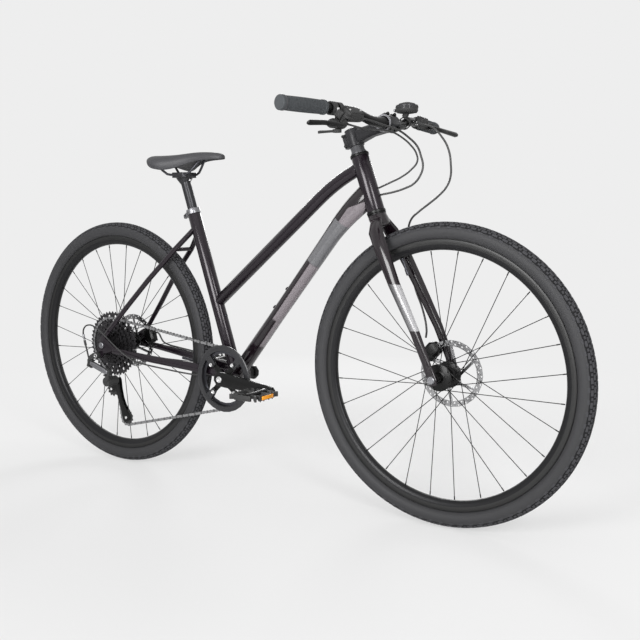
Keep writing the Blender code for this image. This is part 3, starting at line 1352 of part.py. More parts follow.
def derailleur_knuckle(parent):
    """Moving knuckle: a slotted head for the link's far end and the drum of the cage pivot."""
    cage = REAR_AXLE + CAGE_PIVOT_OFFSET + Y * CHAIN_COG_Y
    start = link_start()
    face = Vector((cage.x, start.y, cage.z))
    drum = rod(cage - Y * 0.0095, face + Y * 0.001, DRUM_R, 16)
    obj = emit("derailleur_knuckle", drum, "black_alloy", parent)
    run = link_run()
    axis = link_axis()
    end = start + run * (LINK_LENGTH - 0.002)
    tools = []
    for sign in (-1, 1):
        centre = end + axis * (sign * 0.0110)
        tools.append(loft([box_ring(centre + run * d, axis, Y, 0.0022, 0.0055) for d in (-0.006, 0.014)]))
    back = end + run * 0.0095
    tools.append(loft([box_ring(back + axis * d, run, Y, 0.0040, 0.0052) for d in (-0.0132, 0.0132)]))
    low = back - axis * 0.0110 + X * 0.002
    tools.append(loft([box_ring(low, X, Y, 0.0055, 0.0050), box_ring(face + Y * 0.0035, X, Y, 0.0075, 0.0050)]))
    combine(obj, [emit("tool", t, "black_alloy", parent) for t in tools], "UNION")
    bore = rod(cage - Y * 0.012, cage - Y * 0.004, 0.0060, 14)
    return combine(obj, [emit("tool", bore, "black_alloy", parent)], "DIFFERENCE")


def guide_centre():
    return REAR_AXLE + GUIDE_OFFSET + Y * CHAIN_COG_Y


def tension_centre():
    return REAR_AXLE + TENSION_OFFSET + Y * CHAIN_COG_Y


CAGE_INNER = 0.0042
CAGE_PLATE = 0.0018
# The cage's outline from its pivot down to the lower pulley: (ahead of the rear axle, up, half width)
CAGE_STATIONS = (
    (0.0172, -0.1000, 0.0060), (0.0185, -0.1070, 0.0090), (0.0215, -0.1330, 0.0085), (0.0280, -0.1610, 0.0080),
    (0.0370, -0.1830, 0.0085), (0.0460, -0.2020, 0.0130), (0.0530, -0.2160, 0.0160), (0.0570, -0.2260, 0.0115),
)


def derailleur_cage(parent):
    """Two plates joined by the pulley bolts, with the pivot stub in the knuckle."""
    cage = REAR_AXLE + CAGE_PIVOT_OFFSET + Y * CHAIN_COG_Y
    guide = guide_centre()
    tension = tension_centre()
    solids = []
    for sign in (-1, 1):
        y = cage.y + sign * (CAGE_INNER + CAGE_PLATE / 2)
        path = [Vector((REAR_AXLE.x + ahead, y, REAR_AXLE.z + up)) for ahead, up, half in CAGE_STATIONS]
        halves = [(half, CAGE_PLATE / 2) for ahead, up, half in CAGE_STATIONS]
        solids.append(sweep(path, halves, boxy=True))
        arm = [(CAGE_STATIONS[2][0], CAGE_STATIONS[2][1], 0.008), (GUIDE_OFFSET.x, GUIDE_OFFSET.z, 0.009),
               (GUIDE_OFFSET.x - 0.008, GUIDE_OFFSET.z - 0.003, 0.005)]
        path = [Vector((REAR_AXLE.x + ahead, y, REAR_AXLE.z + up)) for ahead, up, half in arm]
        solids.append(sweep(path, [(half, CAGE_PLATE / 2 - 0.0001) for ahead, up, half in arm], boxy=True))
    for bolt in (guide, tension):
        solids.append(rod(bolt - Y * (CAGE_INNER + 0.0012), bolt + Y * (CAGE_INNER + 0.0012), 0.0028, 12))
    solids.append(rod(cage - Y * (CAGE_INNER + 0.001), cage - Y * 0.0092, 0.0056, 14))
    obj = emit("derailleur_cage", solids[0], "black_alloy", parent)
    return combine(obj, [emit("tool", s, "black_alloy", parent) for s in solids[1:]], "UNION")


def pulley(name, centre, parent):
    """Toothed wheel, bored for the cage's bolt."""
    half = 0.0011
    rings = toothed(PULLEY_R + PULLEY_TOOTH_TIP, PULLEY_TEETH, 0.0055, -half, half, centre)
    bore = []
    for y in (half, -half):
        angles = [math.pi * i / PULLEY_TEETH for i in range(PULLEY_TEETH * 2)]
        bore.append([centre + Vector((0.0031 * math.cos(a), y, 0.0031 * math.sin(a))) for a in angles])
    return emit(name, loft(rings + bore, closed=True), "black_plastic", parent)


def tangent(a, ra, sa, b, rb, sb):
    """The line that leaves circle a and meets circle b, for turning senses sa and sb (1 is clockwise)."""
    d = Vector((b.x - a.x, b.z - a.z))
    dist = d.length
    e = d / dist
    n = Vector((-e.y, e.x))
    k = (ra * sa - rb * sb) / dist
    w = math.sqrt(max(0.0, 1 - k * k))
    m = e * k + n * w
    pa = Vector((a.x, a.z)) + m * (ra * sa)
    pb = Vector((b.x, b.z)) + m * (rb * sb)
    return pa, pb


def chain_path():
    """Points round the chain with their outward directions, its four straight runs, and the circles it wraps."""
    circles = (
        (BB, RING_R, 1, -CHAINRING_Y), (tension_centre(), PULLEY_R, 1, CHAIN_COG_Y),
        (guide_centre(), PULLEY_R, -1, CHAIN_COG_Y), (REAR_AXLE, COG_R, 1, CHAIN_COG_Y),
    )
    lines = []
    for i, (c, r, s, y) in enumerate(circles):
        c2, r2, s2, y2 = circles[(i + 1) % 4]
        lines.append(tangent(c, r, s, c2, r2, s2))
    path = []
    for i, (c, r, s, y) in enumerate(circles):
        arrive = lines[i - 1][1]
        leave = lines[i][0]
        centre = Vector((c.x, c.z))
        a0 = math.atan2(arrive.y - centre.y, arrive.x - centre.x)
        a1 = math.atan2(leave.y - centre.y, leave.x - centre.x)
        sweep_angle = (a0 - a1) % (2 * math.pi) if s > 0 else (a1 - a0) % (2 * math.pi)
        steps = max(2, round(sweep_angle * r / 0.025))
        for k in range(steps + 1):
            a = a0 - s * sweep_angle * k / steps
            out = Vector((math.cos(a), 0, math.sin(a)))
            path.append((Vector((centre.x + r * out.x, y, centre.y + r * out.z)), out * s))
        # A run to another chain line starts straight, beside the teeth it leaves, and ends so
        if circles[(i + 1) % 4][3] != y:
            out = path[-1][1]
            for share in (CHAIN_STRAIGHT, 1 - CHAIN_STRAIGHT):
                path.append((run_point(lines, circles, i, share), out))
    return path, lines, circles


def run_point(lines, circles, i, share):
    """A point on a free run. Its step across to the other chain line falls between the run's two straight ends."""
    a, b = lines[i]
    y_a = circles[i][3]
    y_b = circles[(i + 1) % 4][3]
    across = min(max((share - CHAIN_STRAIGHT) / (1 - CHAIN_STRAIGHT * 2), 0.0), 1.0)
    place = a.lerp(b, share)
    return Vector((place.x, y_a + (y_b - y_a) * across, place.y))


def chain():
    path, lines, circles = chain_path()
    solids = []
    for sign in (-1, 1):
        rings = []
        inner = CHAIN_HALF_WIDTH - CHAIN_PLATE
        for place, out in path:
            low = place + Y * (sign * inner)
            high = place + Y * (sign * CHAIN_HALF_WIDTH)
            h = CHAIN_PLATE_HALF
            rings.append([low - out * h, high - out * h, high + out * h, low + out * h])
        solids.append(loft(rings, closed=True))
    # Rollers join the two rows of plates on the free runs, clear of every toothed wheel
    for i in (0, 3):
        a, b = lines[i]
        count = round((b - a).length / PITCH / 6)
        for k in range(1, count):
            centre = run_point(lines, circles, i, k / count)
            reach = CHAIN_HALF_WIDTH - CHAIN_PLATE / 2
            solids.append(rod(centre - Y * reach, centre + Y * reach, 0.0027, 6))
    obj = emit("chain", solids[0], "silver_steel")
    return combine(obj, [scratch(s) for s in solids[1:]], "UNION")


# Saddle


def post_top():
    return POST_TOP


def seatpost(parent):
    """Post with a cradle for the rails on its head."""
    top = post_top()
    start = top - UP_SEAT * POST_LENGTH
    post = turned([(SEATPOST_R, 0), (SEATPOST_R, POST_LENGTH)], start, UP_SEAT, 20)
    obj = emit("seatpost", post, "black_alloy", parent)
    cradle = top + Vector((-0.004, 0, 0.014))
    head = [ring(top - UP_SEAT * 0.004, FORE_SEAT, Y, SEATPOST_R + 0.001, SEATPOST_R + 0.001, 12),
            ring(top + Vector((-0.003, 0, 0.004)), X, Y, 0.022, 0.017, 12), ring(cradle, X, Y, 0.030, 0.019, 12)]
    combine(obj, [emit("tool", loft(head), "black_alloy", parent)], "UNION")
    plate = [box_ring(cradle + Z * d, X, Y, 0.024, RAIL_HALF_SPAN + 0.007, 0.25) for d in (-0.004, 0.010)]
    combine(obj, [emit("tool", loft(plate), "black_alloy", parent)], "UNION")
    grooves = []
    for side in (-1, 1):
        centre = Vector((cradle.x, side * RAIL_HALF_SPAN, rail_height()))
        grooves.append(rod(centre - X * 0.06, centre + X * 0.06, RAIL_R + GAP, 8))
    return combine(obj, [emit("tool", g, "black_alloy", parent) for g in grooves], "DIFFERENCE")


def rail_height():
    return post_top().z + 0.0185


# Saddle stations: share of the length from the tail, half width, top below the crown, edge below the top
SADDLE_STATIONS = (
    (0.000, 0.10, 0.0090, 0.0120), (0.035, 0.30, 0.0060, 0.0200), (0.080, 0.52, 0.0045, 0.0240),
    (0.140, 0.80, 0.0045, 0.0280), (0.200, 0.96, 0.0050, 0.0350), (0.280, 1.00, 0.0055, 0.0410),
    (0.360, 0.93, 0.0055, 0.0440), (0.460, 0.70, 0.0045, 0.0415), (0.560, 0.49, 0.0020, 0.0340),
    (0.680, 0.37, 0.0000, 0.0260), (0.800, 0.32, 0.0010, 0.0225), (0.900, 0.28, 0.0030, 0.0200),
    (0.970, 0.21, 0.0070, 0.0155), (1.000, 0.10, 0.0120, 0.0090),
)


def saddle_shelf(x):
    """The saddle's underside over the rails at a place along it."""
    share = 1 - (SADDLE_NOSE_X - x) / SADDLE_LENGTH
    for low, high in zip(SADDLE_STATIONS, SADDLE_STATIONS[1:]):
        if low[0] <= share <= high[0]:
            t = (share - low[0]) / (high[0] - low[0])
            top = SADDLE_TOP - low[2] * (1 - t) - high[2] * t
            edge = low[3] * (1 - t) + high[3] * t
            return top - min(edge * 0.55, SADDLE_SHELF)
    return SADDLE_TOP - SADDLE_SHELF


def saddle_rails(parent):
    """One wire: up into the shell at the back, straight through the clamp, and round under the nose."""
    z = rail_height()
    mid = post_top().x
    seat = RAIL_R + GAP * 1.5
    tail = mid - 0.082
    nose = mid + 0.070
    tail_z = saddle_shelf(tail) - seat
    nose_z = saddle_shelf(nose) - seat
    path = [
        Vector((tail, RAIL_HALF_SPAN + 0.012, tail_z)),
        Vector((mid - 0.070, RAIL_HALF_SPAN + 0.012, tail_z - 0.006)),
        Vector((mid - 0.056, RAIL_HALF_SPAN + 0.008, z + 0.012)),
        Vector((mid - 0.044, RAIL_HALF_SPAN + 0.003, z + 0.002)),
        Vector((mid - 0.034, RAIL_HALF_SPAN, z)), Vector((mid + 0.022, RAIL_HALF_SPAN, z)),
        Vector((mid + 0.033, RAIL_HALF_SPAN - 0.002, z + 0.005)),
        Vector((mid + 0.045, RAIL_HALF_SPAN - 0.006, z + 0.017)),
        Vector((mid + 0.059, 0.011, nose_z - 0.008)), Vector((nose, 0.0065, nose_z)),
    ]
    path = path + [mirror_y(p) for p in reversed(path)]
    rings = []
    for i, point in enumerate(path):
        along = (path[min(i + 1, len(path) - 1)] - path[max(i - 1, 0)]).normalized()
        side = (Z - along * Z.dot(along)).normalized()
        rings.append(ring(point, side, along.cross(side), RAIL_R, RAIL_R, 8))
    return emit("saddle_rails", loft(rings), "black_alloy", parent)


def saddle(parent):
    """Shell and pad in one: a crowned top that drops into drawn-in sides, hollow below for the rails."""
    rings = []
    half_width = SADDLE_WIDTH / 2
    for share, wide, sink, edge in SADDLE_STATIONS:
        x = SADDLE_NOSE_X - SADDLE_LENGTH * (1 - share)
        w = half_width * wide
        top = SADDLE_TOP - sink
        low = top - edge
        shelf = min(edge * 0.55, SADDLE_SHELF)
        outline = [
            (0.0, top - 0.0015), (w * 0.40, top), (w * 0.76, top - edge * 0.12), (w, top - edge * 0.45),
            (w * 0.97, top - edge * 0.80), (w * 0.90, low), (w * 0.83, low + edge * 0.06), (w * 0.62, top - shelf),
            (0.0, top - shelf),
        ]
        left = [Vector((x, y, z)) for y, z in outline]
        right = [Vector((x, -y, z)) for y, z in reversed(outline[1:-1])]
        rings.append(left + right)
    return emit("saddle", loft(rings), "saddle_cover", parent, smooth=60)


def build():
    clear_scene()
    steering = pivot("steering_pivot", HEAD_BOTTOM)
    front = pivot("front_wheel_pivot", FRONT_AXLE, steering)
    rear = pivot("rear_wheel_pivot", REAR_AXLE)
    cassette_axis = pivot("cassette_pivot", REAR_AXLE)
    crank = pivot("crank_pivot", BB)
    pedal_axis_right = pivot("pedal_right_pivot", crank_eye(-1), crank)
    pedal_axis_left = pivot("pedal_left_pivot", crank_eye(1), crank)
    post = pivot("seatpost_slide", SEAT_TOP)
    link_axis_empty = pivot("link_pivot", link_start())
    knuckle = pivot("knuckle_slide", REAR_AXLE + CAGE_PIVOT_OFFSET)
    cage = pivot("cage_pivot", REAR_AXLE + CAGE_PIVOT_OFFSET + Y * CHAIN_COG_Y, knuckle)
    guide = pivot("guide_pulley_pivot", guide_centre(), cage)
    tension = pivot("tension_pulley_pivot", tension_centre(), cage)

    head_tube()
    top_tube()
    down_tube()
    seat_tube()
    bottom_bracket_shell()
    bottom_bracket_cartridge()
    chainstay("chainstay_right", -1)
    chainstay("chainstay_left", 1)
    seatstay("seatstay_right", -1)
    seatstay("seatstay_left", 1)
    seat_clamp()
    axle_rod("rear_axle", REAR_AXLE, REAR_HUB_HALF, DROPOUT_THICK + GAP)
    rotor_y = rotor_middle(REAR_HUB_HALF)
    out = caliper_out(REAR_CALIPER_ANGLE)
    seat = REAR_AXLE + Vector((0.066, 0.067, -0.010))
    carriers = [chainstay_blank(1, GAP), seatstay_blank(1, GAP)]
    caliper("rear_caliper", REAR_AXLE, out, rotor_y, seat, carriers, None)
    derailleur_body()
    cable("rear_shift_cable", rear_shift_route(), 0.0022)
    cable("rear_brake_hose", rear_hose_tail_route(), 0.0025)
    chain()

    seatpost(post)
    saddle_rails(post)
    saddle(post)

    fork(steering)
    headset_spacers(steering)
    stem(steering)
    stem_faceplate(steering)
    handlebar(steering)
    grip("grip_right", -1, steering)
    grip("grip_left", 1, steering)
    lever_body("brake_lever_body_right", -1, steering)
    lever_body("brake_lever_body_left", 1, steering)
    shifter(steering)
    bell(steering)
    axle_rod("front_axle", FRONT_AXLE, FRONT_HUB_HALF, FORK_END_THICK + GAP, steering)
    rotor_y = rotor_middle(FRONT_HUB_HALF)
    out = caliper_out(FRONT_CALIPER_ANGLE)
    seat = FRONT_AXLE + Vector((-0.030, 0.058, 0.072))
    caliper("front_caliper", FRONT_AXLE, out, rotor_y, seat, [fork_leg(1, GAP)], steering)
    cable("front_brake_hose", front_hose_route(), 0.0025, steering)
    cable("rear_brake_hose_front", rear_hose_route(), 0.0025, steering)
    cable("shift_cable_front", shift_front_route(), 0.0022, steering)

    lever_blade("brake_lever_right", -1, pivot("brake_lever_right_pivot", lever_pivot(-1), steering))
    lever_blade("brake_lever_left", 1, pivot("brake_lever_left_pivot", lever_pivot(1), steering))
    thumb_lever(pivot("shift_lever_pivot", shifter_centre(), steering))
    bell_striker(pivot("bell_striker_pivot", striker_pin() - Y * 0.010, steering))

    tyre("front_tyre", FRONT_AXLE, front)
    rim("front_rim", FRONT_AXLE, front)
    hub("front_hub", FRONT_AXLE, FRONT_HUB_HALF, front)
    rotor("front_rotor", FRONT_AXLE, FRONT_HUB_HALF, front)
    tyre("rear_tyre", REAR_AXLE, rear)
    rim("rear_rim", REAR_AXLE, rear)
    hub("rear_hub", REAR_AXLE, REAR_HUB_HALF, rear)
    rotor("rear_rotor", REAR_AXLE, REAR_HUB_HALF, rear)
    cassette(cassette_axis)

    crank_right(crank)
    crank_left(crank)
    chainring(crank)
    chain_guard(crank)
    pedal("pedal_right", -1, pedal_axis_right)
    pedal("pedal_left", 1, pedal_axis_left)

    derailleur_link(link_axis_empty)
    derailleur_knuckle(knuckle)
    derailleur_cage(cage)
    pulley("guide_pulley", guide_centre(), guide)
    pulley("tension_pulley", tension_centre(), tension)


build()
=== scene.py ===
import math

import bpy
from mathutils import Matrix, Vector


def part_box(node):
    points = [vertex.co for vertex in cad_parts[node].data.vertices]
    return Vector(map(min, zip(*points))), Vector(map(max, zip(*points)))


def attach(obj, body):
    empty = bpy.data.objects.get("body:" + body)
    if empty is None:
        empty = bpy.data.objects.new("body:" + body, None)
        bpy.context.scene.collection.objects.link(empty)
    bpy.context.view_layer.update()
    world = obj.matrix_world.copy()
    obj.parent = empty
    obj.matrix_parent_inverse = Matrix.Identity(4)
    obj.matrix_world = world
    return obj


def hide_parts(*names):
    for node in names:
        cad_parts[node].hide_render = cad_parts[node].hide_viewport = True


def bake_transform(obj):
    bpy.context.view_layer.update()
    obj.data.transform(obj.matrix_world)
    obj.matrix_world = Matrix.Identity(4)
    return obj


bl_info = {
    "name": "Hybrid bike model",
    "version": (1, 0, 0),
    "blender": (4, 5, 0),
    "location": "View3D > Sidebar > Hybrid Bike",
    "description": "Builds the visual model of a hybrid bike over its CAD frame",
    "category": "Object",
}

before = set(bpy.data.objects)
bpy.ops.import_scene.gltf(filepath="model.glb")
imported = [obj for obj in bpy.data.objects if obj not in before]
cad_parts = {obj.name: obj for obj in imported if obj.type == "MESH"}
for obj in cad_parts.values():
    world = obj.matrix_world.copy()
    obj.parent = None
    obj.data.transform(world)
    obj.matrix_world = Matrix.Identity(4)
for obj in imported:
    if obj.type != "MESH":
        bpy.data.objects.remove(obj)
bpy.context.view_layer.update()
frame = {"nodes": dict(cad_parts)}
X = Vector((1, 0, 0))
Y = Vector((0, 1, 0))
Z = Vector((0, 0, 1))

# Places that the CAD model gives


def middle(node):
    low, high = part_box(node)
    return (Vector(low) + Vector(high)) / 2


FRONT_AXLE = Vector((middle("front_axle").x, 0, middle("front_axle").z))
REAR_AXLE = Vector((middle("rear_axle").x, 0, middle("rear_axle").z))
BB = Vector((middle("bottom_bracket_shell").x, 0, middle("bottom_bracket_shell").z))
TYRE_R = (Vector(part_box("front_tyre")[1]) - Vector(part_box("front_tyre")[0])).x / 2

# Directions and points of the frame, in metres

HEAD_ANGLE = math.radians(71)
UP_HEAD = Vector((-math.cos(HEAD_ANGLE), 0, math.sin(HEAD_ANGLE)))
FORE_HEAD = Vector((math.sin(HEAD_ANGLE), 0, math.cos(HEAD_ANGLE)))
HEAD_BOTTOM = Vector((0.35403, 0, 0.734019))
HEAD_TOP = Vector((0.3052, 0, 0.8758))
SEAT_ANGLE = math.radians(72.1)
UP_SEAT = Vector((-math.cos(SEAT_ANGLE), 0, math.sin(SEAT_ANGLE)))
POST_TOP = Vector((-0.257077, 0, 0.826707))
BAR_CENTRE = Vector((0.3842, 0, 0.9427))
BAR_HALF = 0.350
CRANK_EYE = {-1: Vector((0.082671, -0.078, 0.288733)), 1: Vector((-0.256581, 0.078, 0.311267))}
LEVER_SLOPE = {-1: math.radians(41), 1: math.radians(18)}
BELL = Vector((0.3799, 0.1, 0.9759))
GUIDE = Vector((-0.538, -0.0333, 0.222))
TENSION = Vector((-0.480, -0.0333, 0.142))
CHAINRING_Y = -0.050
COG_Y = -0.0333
PITCH = 0.0127


def pitch_radius(teeth):
    return PITCH / (2 * math.sin(math.pi / teeth))


def bar_point(side, reach):
    """The handlebar's centre line, at a distance out from its middle."""
    back = 0.057 * max(reach - 0.045, 0.0) / (BAR_HALF - 0.045)
    share = min(max(reach - 0.058, 0.0) / 0.080, 1.0)
    rise = 0.019 * share * share * (3 - 2 * share)
    return BAR_CENTRE + Vector((-back, side * reach, rise))


def bar_direction(side, reach):
    return (bar_point(side, reach + 0.01) - bar_point(side, reach - 0.01)).normalized()


# Modelling helpers


def clear():
    """Object mode, with nothing selected."""
    if bpy.context.object and bpy.context.object.mode != "OBJECT":
        bpy.ops.object.mode_set(mode="OBJECT")
    bpy.ops.object.select_all(action="DESELECT")


def pick(*objects):
    """These objects alone are selected, with the first one active."""
    clear()
    for obj in objects:
        obj.hide_set(False)
        obj.select_set(True)
    bpy.context.view_layer.objects.active = objects[0]


def edit(obj, mode="VERT"):
    pick(obj)
    bpy.ops.object.mode_set(mode="EDIT")
    bpy.ops.mesh.select_mode(type=mode)
    bpy.ops.mesh.select_all(action="SELECT")


def done():
    bpy.ops.object.mode_set(mode="OBJECT")
    return bpy.context.object


def turn_to(axis):
    """The rotation that takes the Z axis to this one."""
    return Vector(axis).to_track_quat("Z", "Y").to_matrix().to_4x4()


def place(obj, matrix):
    """Puts the place in the mesh, and leaves the object at the origin."""
    obj.data.transform(matrix)
    if matrix.determinant() < 0:
        obj.data.flip_normals()
    return obj


def settle(obj):
    pick(obj)
    bpy.ops.object.transform_apply(location=True, rotation=True, scale=True)
    return obj


def modify(obj, kind, **values):
    """Adds a modifier, and applies it as by hand."""
    pick(obj)
    mod = obj.modifiers.new(kind.title(), kind)
    for key, value in values.items():
        setattr(mod, key, value)
    bpy.ops.object.modifier_apply(modifier=mod.name)
    return obj


def smooth(obj, degrees=38):
    pick(obj)
    bpy.ops.object.shade_smooth_by_angle(angle=math.radians(degrees))
    return obj


def bevel(obj, width, segments=2, degrees=32):
    return modify(obj, "BEVEL", width=width, segments=segments, limit_method="ANGLE",
                  angle_limit=math.radians(degrees), use_clamp_overlap=True)


def outline(name, points):
    """A chain of edges through the points, drawn by extruding one vertex."""
    clear()
    bpy.ops.mesh.primitive_plane_add(size=0.001, location=points[0])
    obj = bpy.context.object
    obj.name = name
    settle(obj)
    edit(obj)
    bpy.ops.mesh.merge(type="CENTER")
    for a, b in zip(points, points[1:]):
        step = Vector(b) - Vector(a)
        bpy.ops.mesh.extrude_region_move(TRANSFORM_OT_translate={"value": step})
    return obj


def lathe(name, profile, centre, axis=Y, steps=64, closed=True, angle=38):
    """A profile of (radius, place along the axis) pairs, spun round the axis."""
    points = [Vector((r, 0, h)) for r, h in profile]
    if closed:
        points.append(points[0])
    obj = outline(name, points)
    bpy.ops.mesh.select_all(action="SELECT")
    bpy.ops.mesh.spin(steps=steps, angle=2 * math.pi, center=(0, 0, 0), axis=(0, 0, 1))
    bpy.ops.mesh.select_all(action="SELECT")
    bpy.ops.mesh.remove_doubles(threshold=0.000002)
    bpy.ops.mesh.normals_make_consistent(inside=False)
    done()
    place(obj, Matrix.Translation(centre) @ turn_to(axis))
    return smooth(obj, angle)


def disc(name, radius, height, centre, axis, steps=24, edge=0.0006):
    """A short round bar about centre, its ends bevelled."""
    clear()
    bpy.ops.mesh.primitive_cylinder_add(vertices=steps, radius=radius, depth=height)
    obj = bpy.context.object
    obj.name = name
    bevel(obj, edge, 2, 50)
    place(obj, Matrix.Translation(centre) @ turn_to(axis))
    return smooth(obj)


def bar(name, a, b, radius, steps=12):
    a = Vector(a)
    b = Vector(b)
    return disc(name, radius, (b - a).length, (a + b) / 2, b - a, steps, min(radius * 0.3, 0.0006))


def block(name, size, matrix, edge=0.001, segments=2):
    """A box with rounded edges, turned and placed by the matrix."""
    clear()
    bpy.ops.mesh.primitive_cube_add(size=1)
    obj = bpy.context.object
    obj.name = name
    obj.scale = size
    settle(obj)
    bevel(obj, edge, segments)
    place(obj, matrix)
    return smooth(obj)


def cap_bolt(name, place_, axis, radius=0.0042, height=0.004):
    """A socket head bolt: its face is inset and a round socket sunk in it."""
    clear()
    bpy.ops.mesh.primitive_cylinder_add(vertices=24, radius=radius, depth=height)
    obj = bpy.context.object
    obj.name = name
    edit(obj, "FACE")
    bpy.ops.mesh.select_all(action="DESELECT")
    done()
    for face in obj.data.polygons:
        face.select = face.normal.z > 0.9
    bpy.ops.object.mode_set(mode="EDIT")
    bpy.ops.mesh.inset(thickness=radius * 0.38)
    bpy.ops.mesh.extrude_region_move(TRANSFORM_OT_translate={"value": (0, 0, -height * 0.6)})
    bpy.ops.transform.resize(value=(0.9, 0.9, 1))
    done()
    bevel(obj, radius * 0.09, 1, 50)
    place(obj, Matrix.Translation(place_) @ turn_to(axis))
    return smooth(obj)


def copies(obj, matrices, name=None):
    """Copies of a piece, each with its own mesh, joined into one."""
    made = []
    for matrix in matrices:
        new = obj.copy()
        new.data = obj.data.copy()
        bpy.context.collection.objects.link(new)
        place(new, matrix)
        made.append(new)
    bpy.data.objects.remove(obj)
    return join(made, name)


def join(objects, name=None):
    pick(*objects)
    if len(objects) > 1:
        bpy.ops.object.join()
    obj = bpy.context.object
    if name:
        obj.name = name
    return obj


def round_axis(centre, axis, count, start=0.0):
    """Turns about an axis, evenly spaced."""
    return [
        Matrix.Translation(centre) @ Matrix.Rotation(start + 2 * math.pi * i / count, 4, axis)
        @ Matrix.Translation(-Vector(centre)) for i in range(count)
    ]


def hose(name, points, radius, sides=5):
    """A smooth round line through the points."""
    clear()
    bpy.ops.curve.primitive_bezier_curve_add()
    obj = bpy.context.object
    obj.name = name
    line = obj.data.splines[0]
    line.bezier_points.add(len(points) - 2)
    for knot, point in zip(line.bezier_points, points):
        knot.co = point
        knot.handle_left_type = "AUTO"
        knot.handle_right_type = "AUTO"
        knot.radius = 1
    obj.data.bevel_depth = radius
    obj.data.bevel_resolution = sides
    obj.data.resolution_u = 10
    obj.data.use_fill_caps = True
    bpy.ops.object.convert(target="MESH")
    obj = bpy.context.object
    settle(obj)
    edit(obj)
    bpy.ops.mesh.remove_doubles(threshold=0.000002)
    bpy.ops.mesh.normals_make_consistent(inside=False)
    done()
    return smooth(obj)


def refined(node, width=0.0008, segments=2, name=None, degrees=32, soft=0, quads=False):
    """A copy of a CAD piece, merged, with its edges rounded and its faces smoothed."""
    source = frame["nodes"][node]
    obj = source.copy()
    obj.data = source.data.copy()
    obj.name = name or node + "_form"
    bpy.context.collection.objects.link(obj)
    obj.parent = None
    obj.matrix_world = Matrix.Identity(4)
    place(obj, source.matrix_world)
    for key in list(obj.keys()):
        del obj[key]
    obj.data.materials.clear()
    edit(obj)
    bpy.ops.mesh.remove_doubles(threshold=0.000002)
    if not quads:
        bpy.ops.mesh.dissolve_limited(angle_limit=math.radians(0.6))
    if soft or quads:
        bpy.ops.mesh.tris_convert_to_quads()
    done()
    if width:
        bevel(obj, width, segments, degrees)
    if soft:
        modify(obj, "SUBSURF", levels=soft, render_levels=soft)
    return smooth(obj, 40)


def finish(obj, body, finish_name, *nodes, more=()):
    """Gives a piece its finish, the body it rides on and the CAD pieces it stands for."""
    obj.data.materials.clear()
    obj.data.materials.append(material(finish_name))
    for extra in more:
        obj.data.materials.append(material(extra))
    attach(obj, body)
    if nodes:
        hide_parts(*nodes)
    return obj


def dressed(node, body, finish_name, width=0.0012, segments=3, quads=False):
    """A CAD piece with its edges rounded, in its finish, standing for itself."""
    return finish(refined(node, width, segments, quads=quads), body, finish_name, node)


def paint_faces(obj, index, test):
    """Faces whose centre passes the test take another of the piece's materials."""
    for face in obj.data.polygons:
        if test(face.center, face.normal):
            face.material_index = index


# Materials. A finish names its colour, metallic share, roughness and coat, and its grain's scale and depth

PAINT_LEVEL = 0.1
PLAIN_LEVEL = 0.2
FINISHES = {
    "frame_paint": ("frame", 0.0, 0.30, 1.0, 350, 0.0),
    "tyre_rubber": ("tyre", 0.0, 0.62, 0.0, 900, 0.20),
    "sidewall": ("sidewall", 0.0, 0.55, 0.0, 1200, 0.12),
    "rim_black": ("rim", 0.0, 0.30, 0.0, 500, 0.0),
    "black_alloy": ("alloy", 0.0, 0.36, 0.2, 600, 0.05),
    "black_plastic": ("plastic", 0.0, 0.36, 0.0, 900, 0.05),
    "grip_rubber": ("grip", 0.0, 0.80, 0.0, 1500, 0.40),
    "saddle_cover": ("saddle", 0.0, 0.52, 0.0, 1800, 0.25),
    "silver_steel": ("steel", 1.0, 0.26, 0.0, 700, 0.04),
    "dark_steel": ("dark_steel", 0.8, 0.34, 0.0, 700, 0.06),
    "grey_alloy": ("grey", 0.4, 0.36, 0.1, 600, 0.05),
    "hose": ("hose", 0.0, 0.42, 0.2, 900, 0.05),
    "reflector": ("reflector", 0.0, 0.18, 0.6, 300, 0.05),
    # Painted shade: the casing between the tread blocks, darker than the same rubber on the sidewall
    "tread_groove": ("groove", 0.0, 0.85, 0.0, 900, 0.20),
    "rim_side": ("rim_side", 0.2, 0.32, 0.0, 700, 0.02),
    "stem_satin": ("stem", 0.1, 0.42, 0.1, 800, 0.06),
    "control_satin": ("lever", 0.1, 0.36, 0.1, 800, 0.06),
    "cog_steel": ("cogs", 0.9, 0.38, 0.0, 500, 0.06),
    "chain_outer": ("chain_outer", 0.8, 0.42, 0.0, 700, 0.04),
    "chain_inner": ("chain_inner", 0.9, 0.34, 0.0, 700, 0.04),
    "guard_grey": ("guard", 0.0, 0.34, 0.3, 700, 0.05),
    "spacer_grey": ("spacer", 0.5, 0.38, 0.0, 700, 0.05),
    "post_satin": ("post", 0.6, 0.30, 0.0, 700, 0.0),
    "rotor_steel": ("rotor", 1.0, 0.28, 0.0, 700, 0.04),
}


def add_node(tree, kind, source=None, **settings):
    """A shader node, its settings set, with its first socket linked to the source."""
    node = tree.nodes.new("ShaderNode" + kind)
    for key, value in settings.items():
        setattr(node, key, value)
    if source:
        tree.links.new(source, node.inputs[0])
    return node


def nodes_of(name):
    mat = bpy.data.materials.new(name)
    mat.use_nodes = True
    tree = mat.node_tree
    shader = tree.nodes["Principled BSDF"]
    coords = add_node(tree, "TexCoord")
    return mat, tree, shader, coords


def grain(tree, shader, coords, scale, depth):
    """Fine noise that shades the surface a little, and gives it a slight relief."""
    noise = add_node(tree, "TexNoise", coords.outputs["Object"])
    noise.inputs["Scale"].default_value = scale
    noise.inputs["Detail"].default_value = 3
    if depth:
        bump = add_node(tree, "Bump")
        bump.inputs["Strength"].default_value = depth
        bump.inputs["Distance"].default_value = 0.0002
        tree.links.new(noise.outputs["Fac"], bump.inputs["Height"])
        tree.links.new(bump.outputs["Normal"], shader.inputs["Normal"])
    return noise


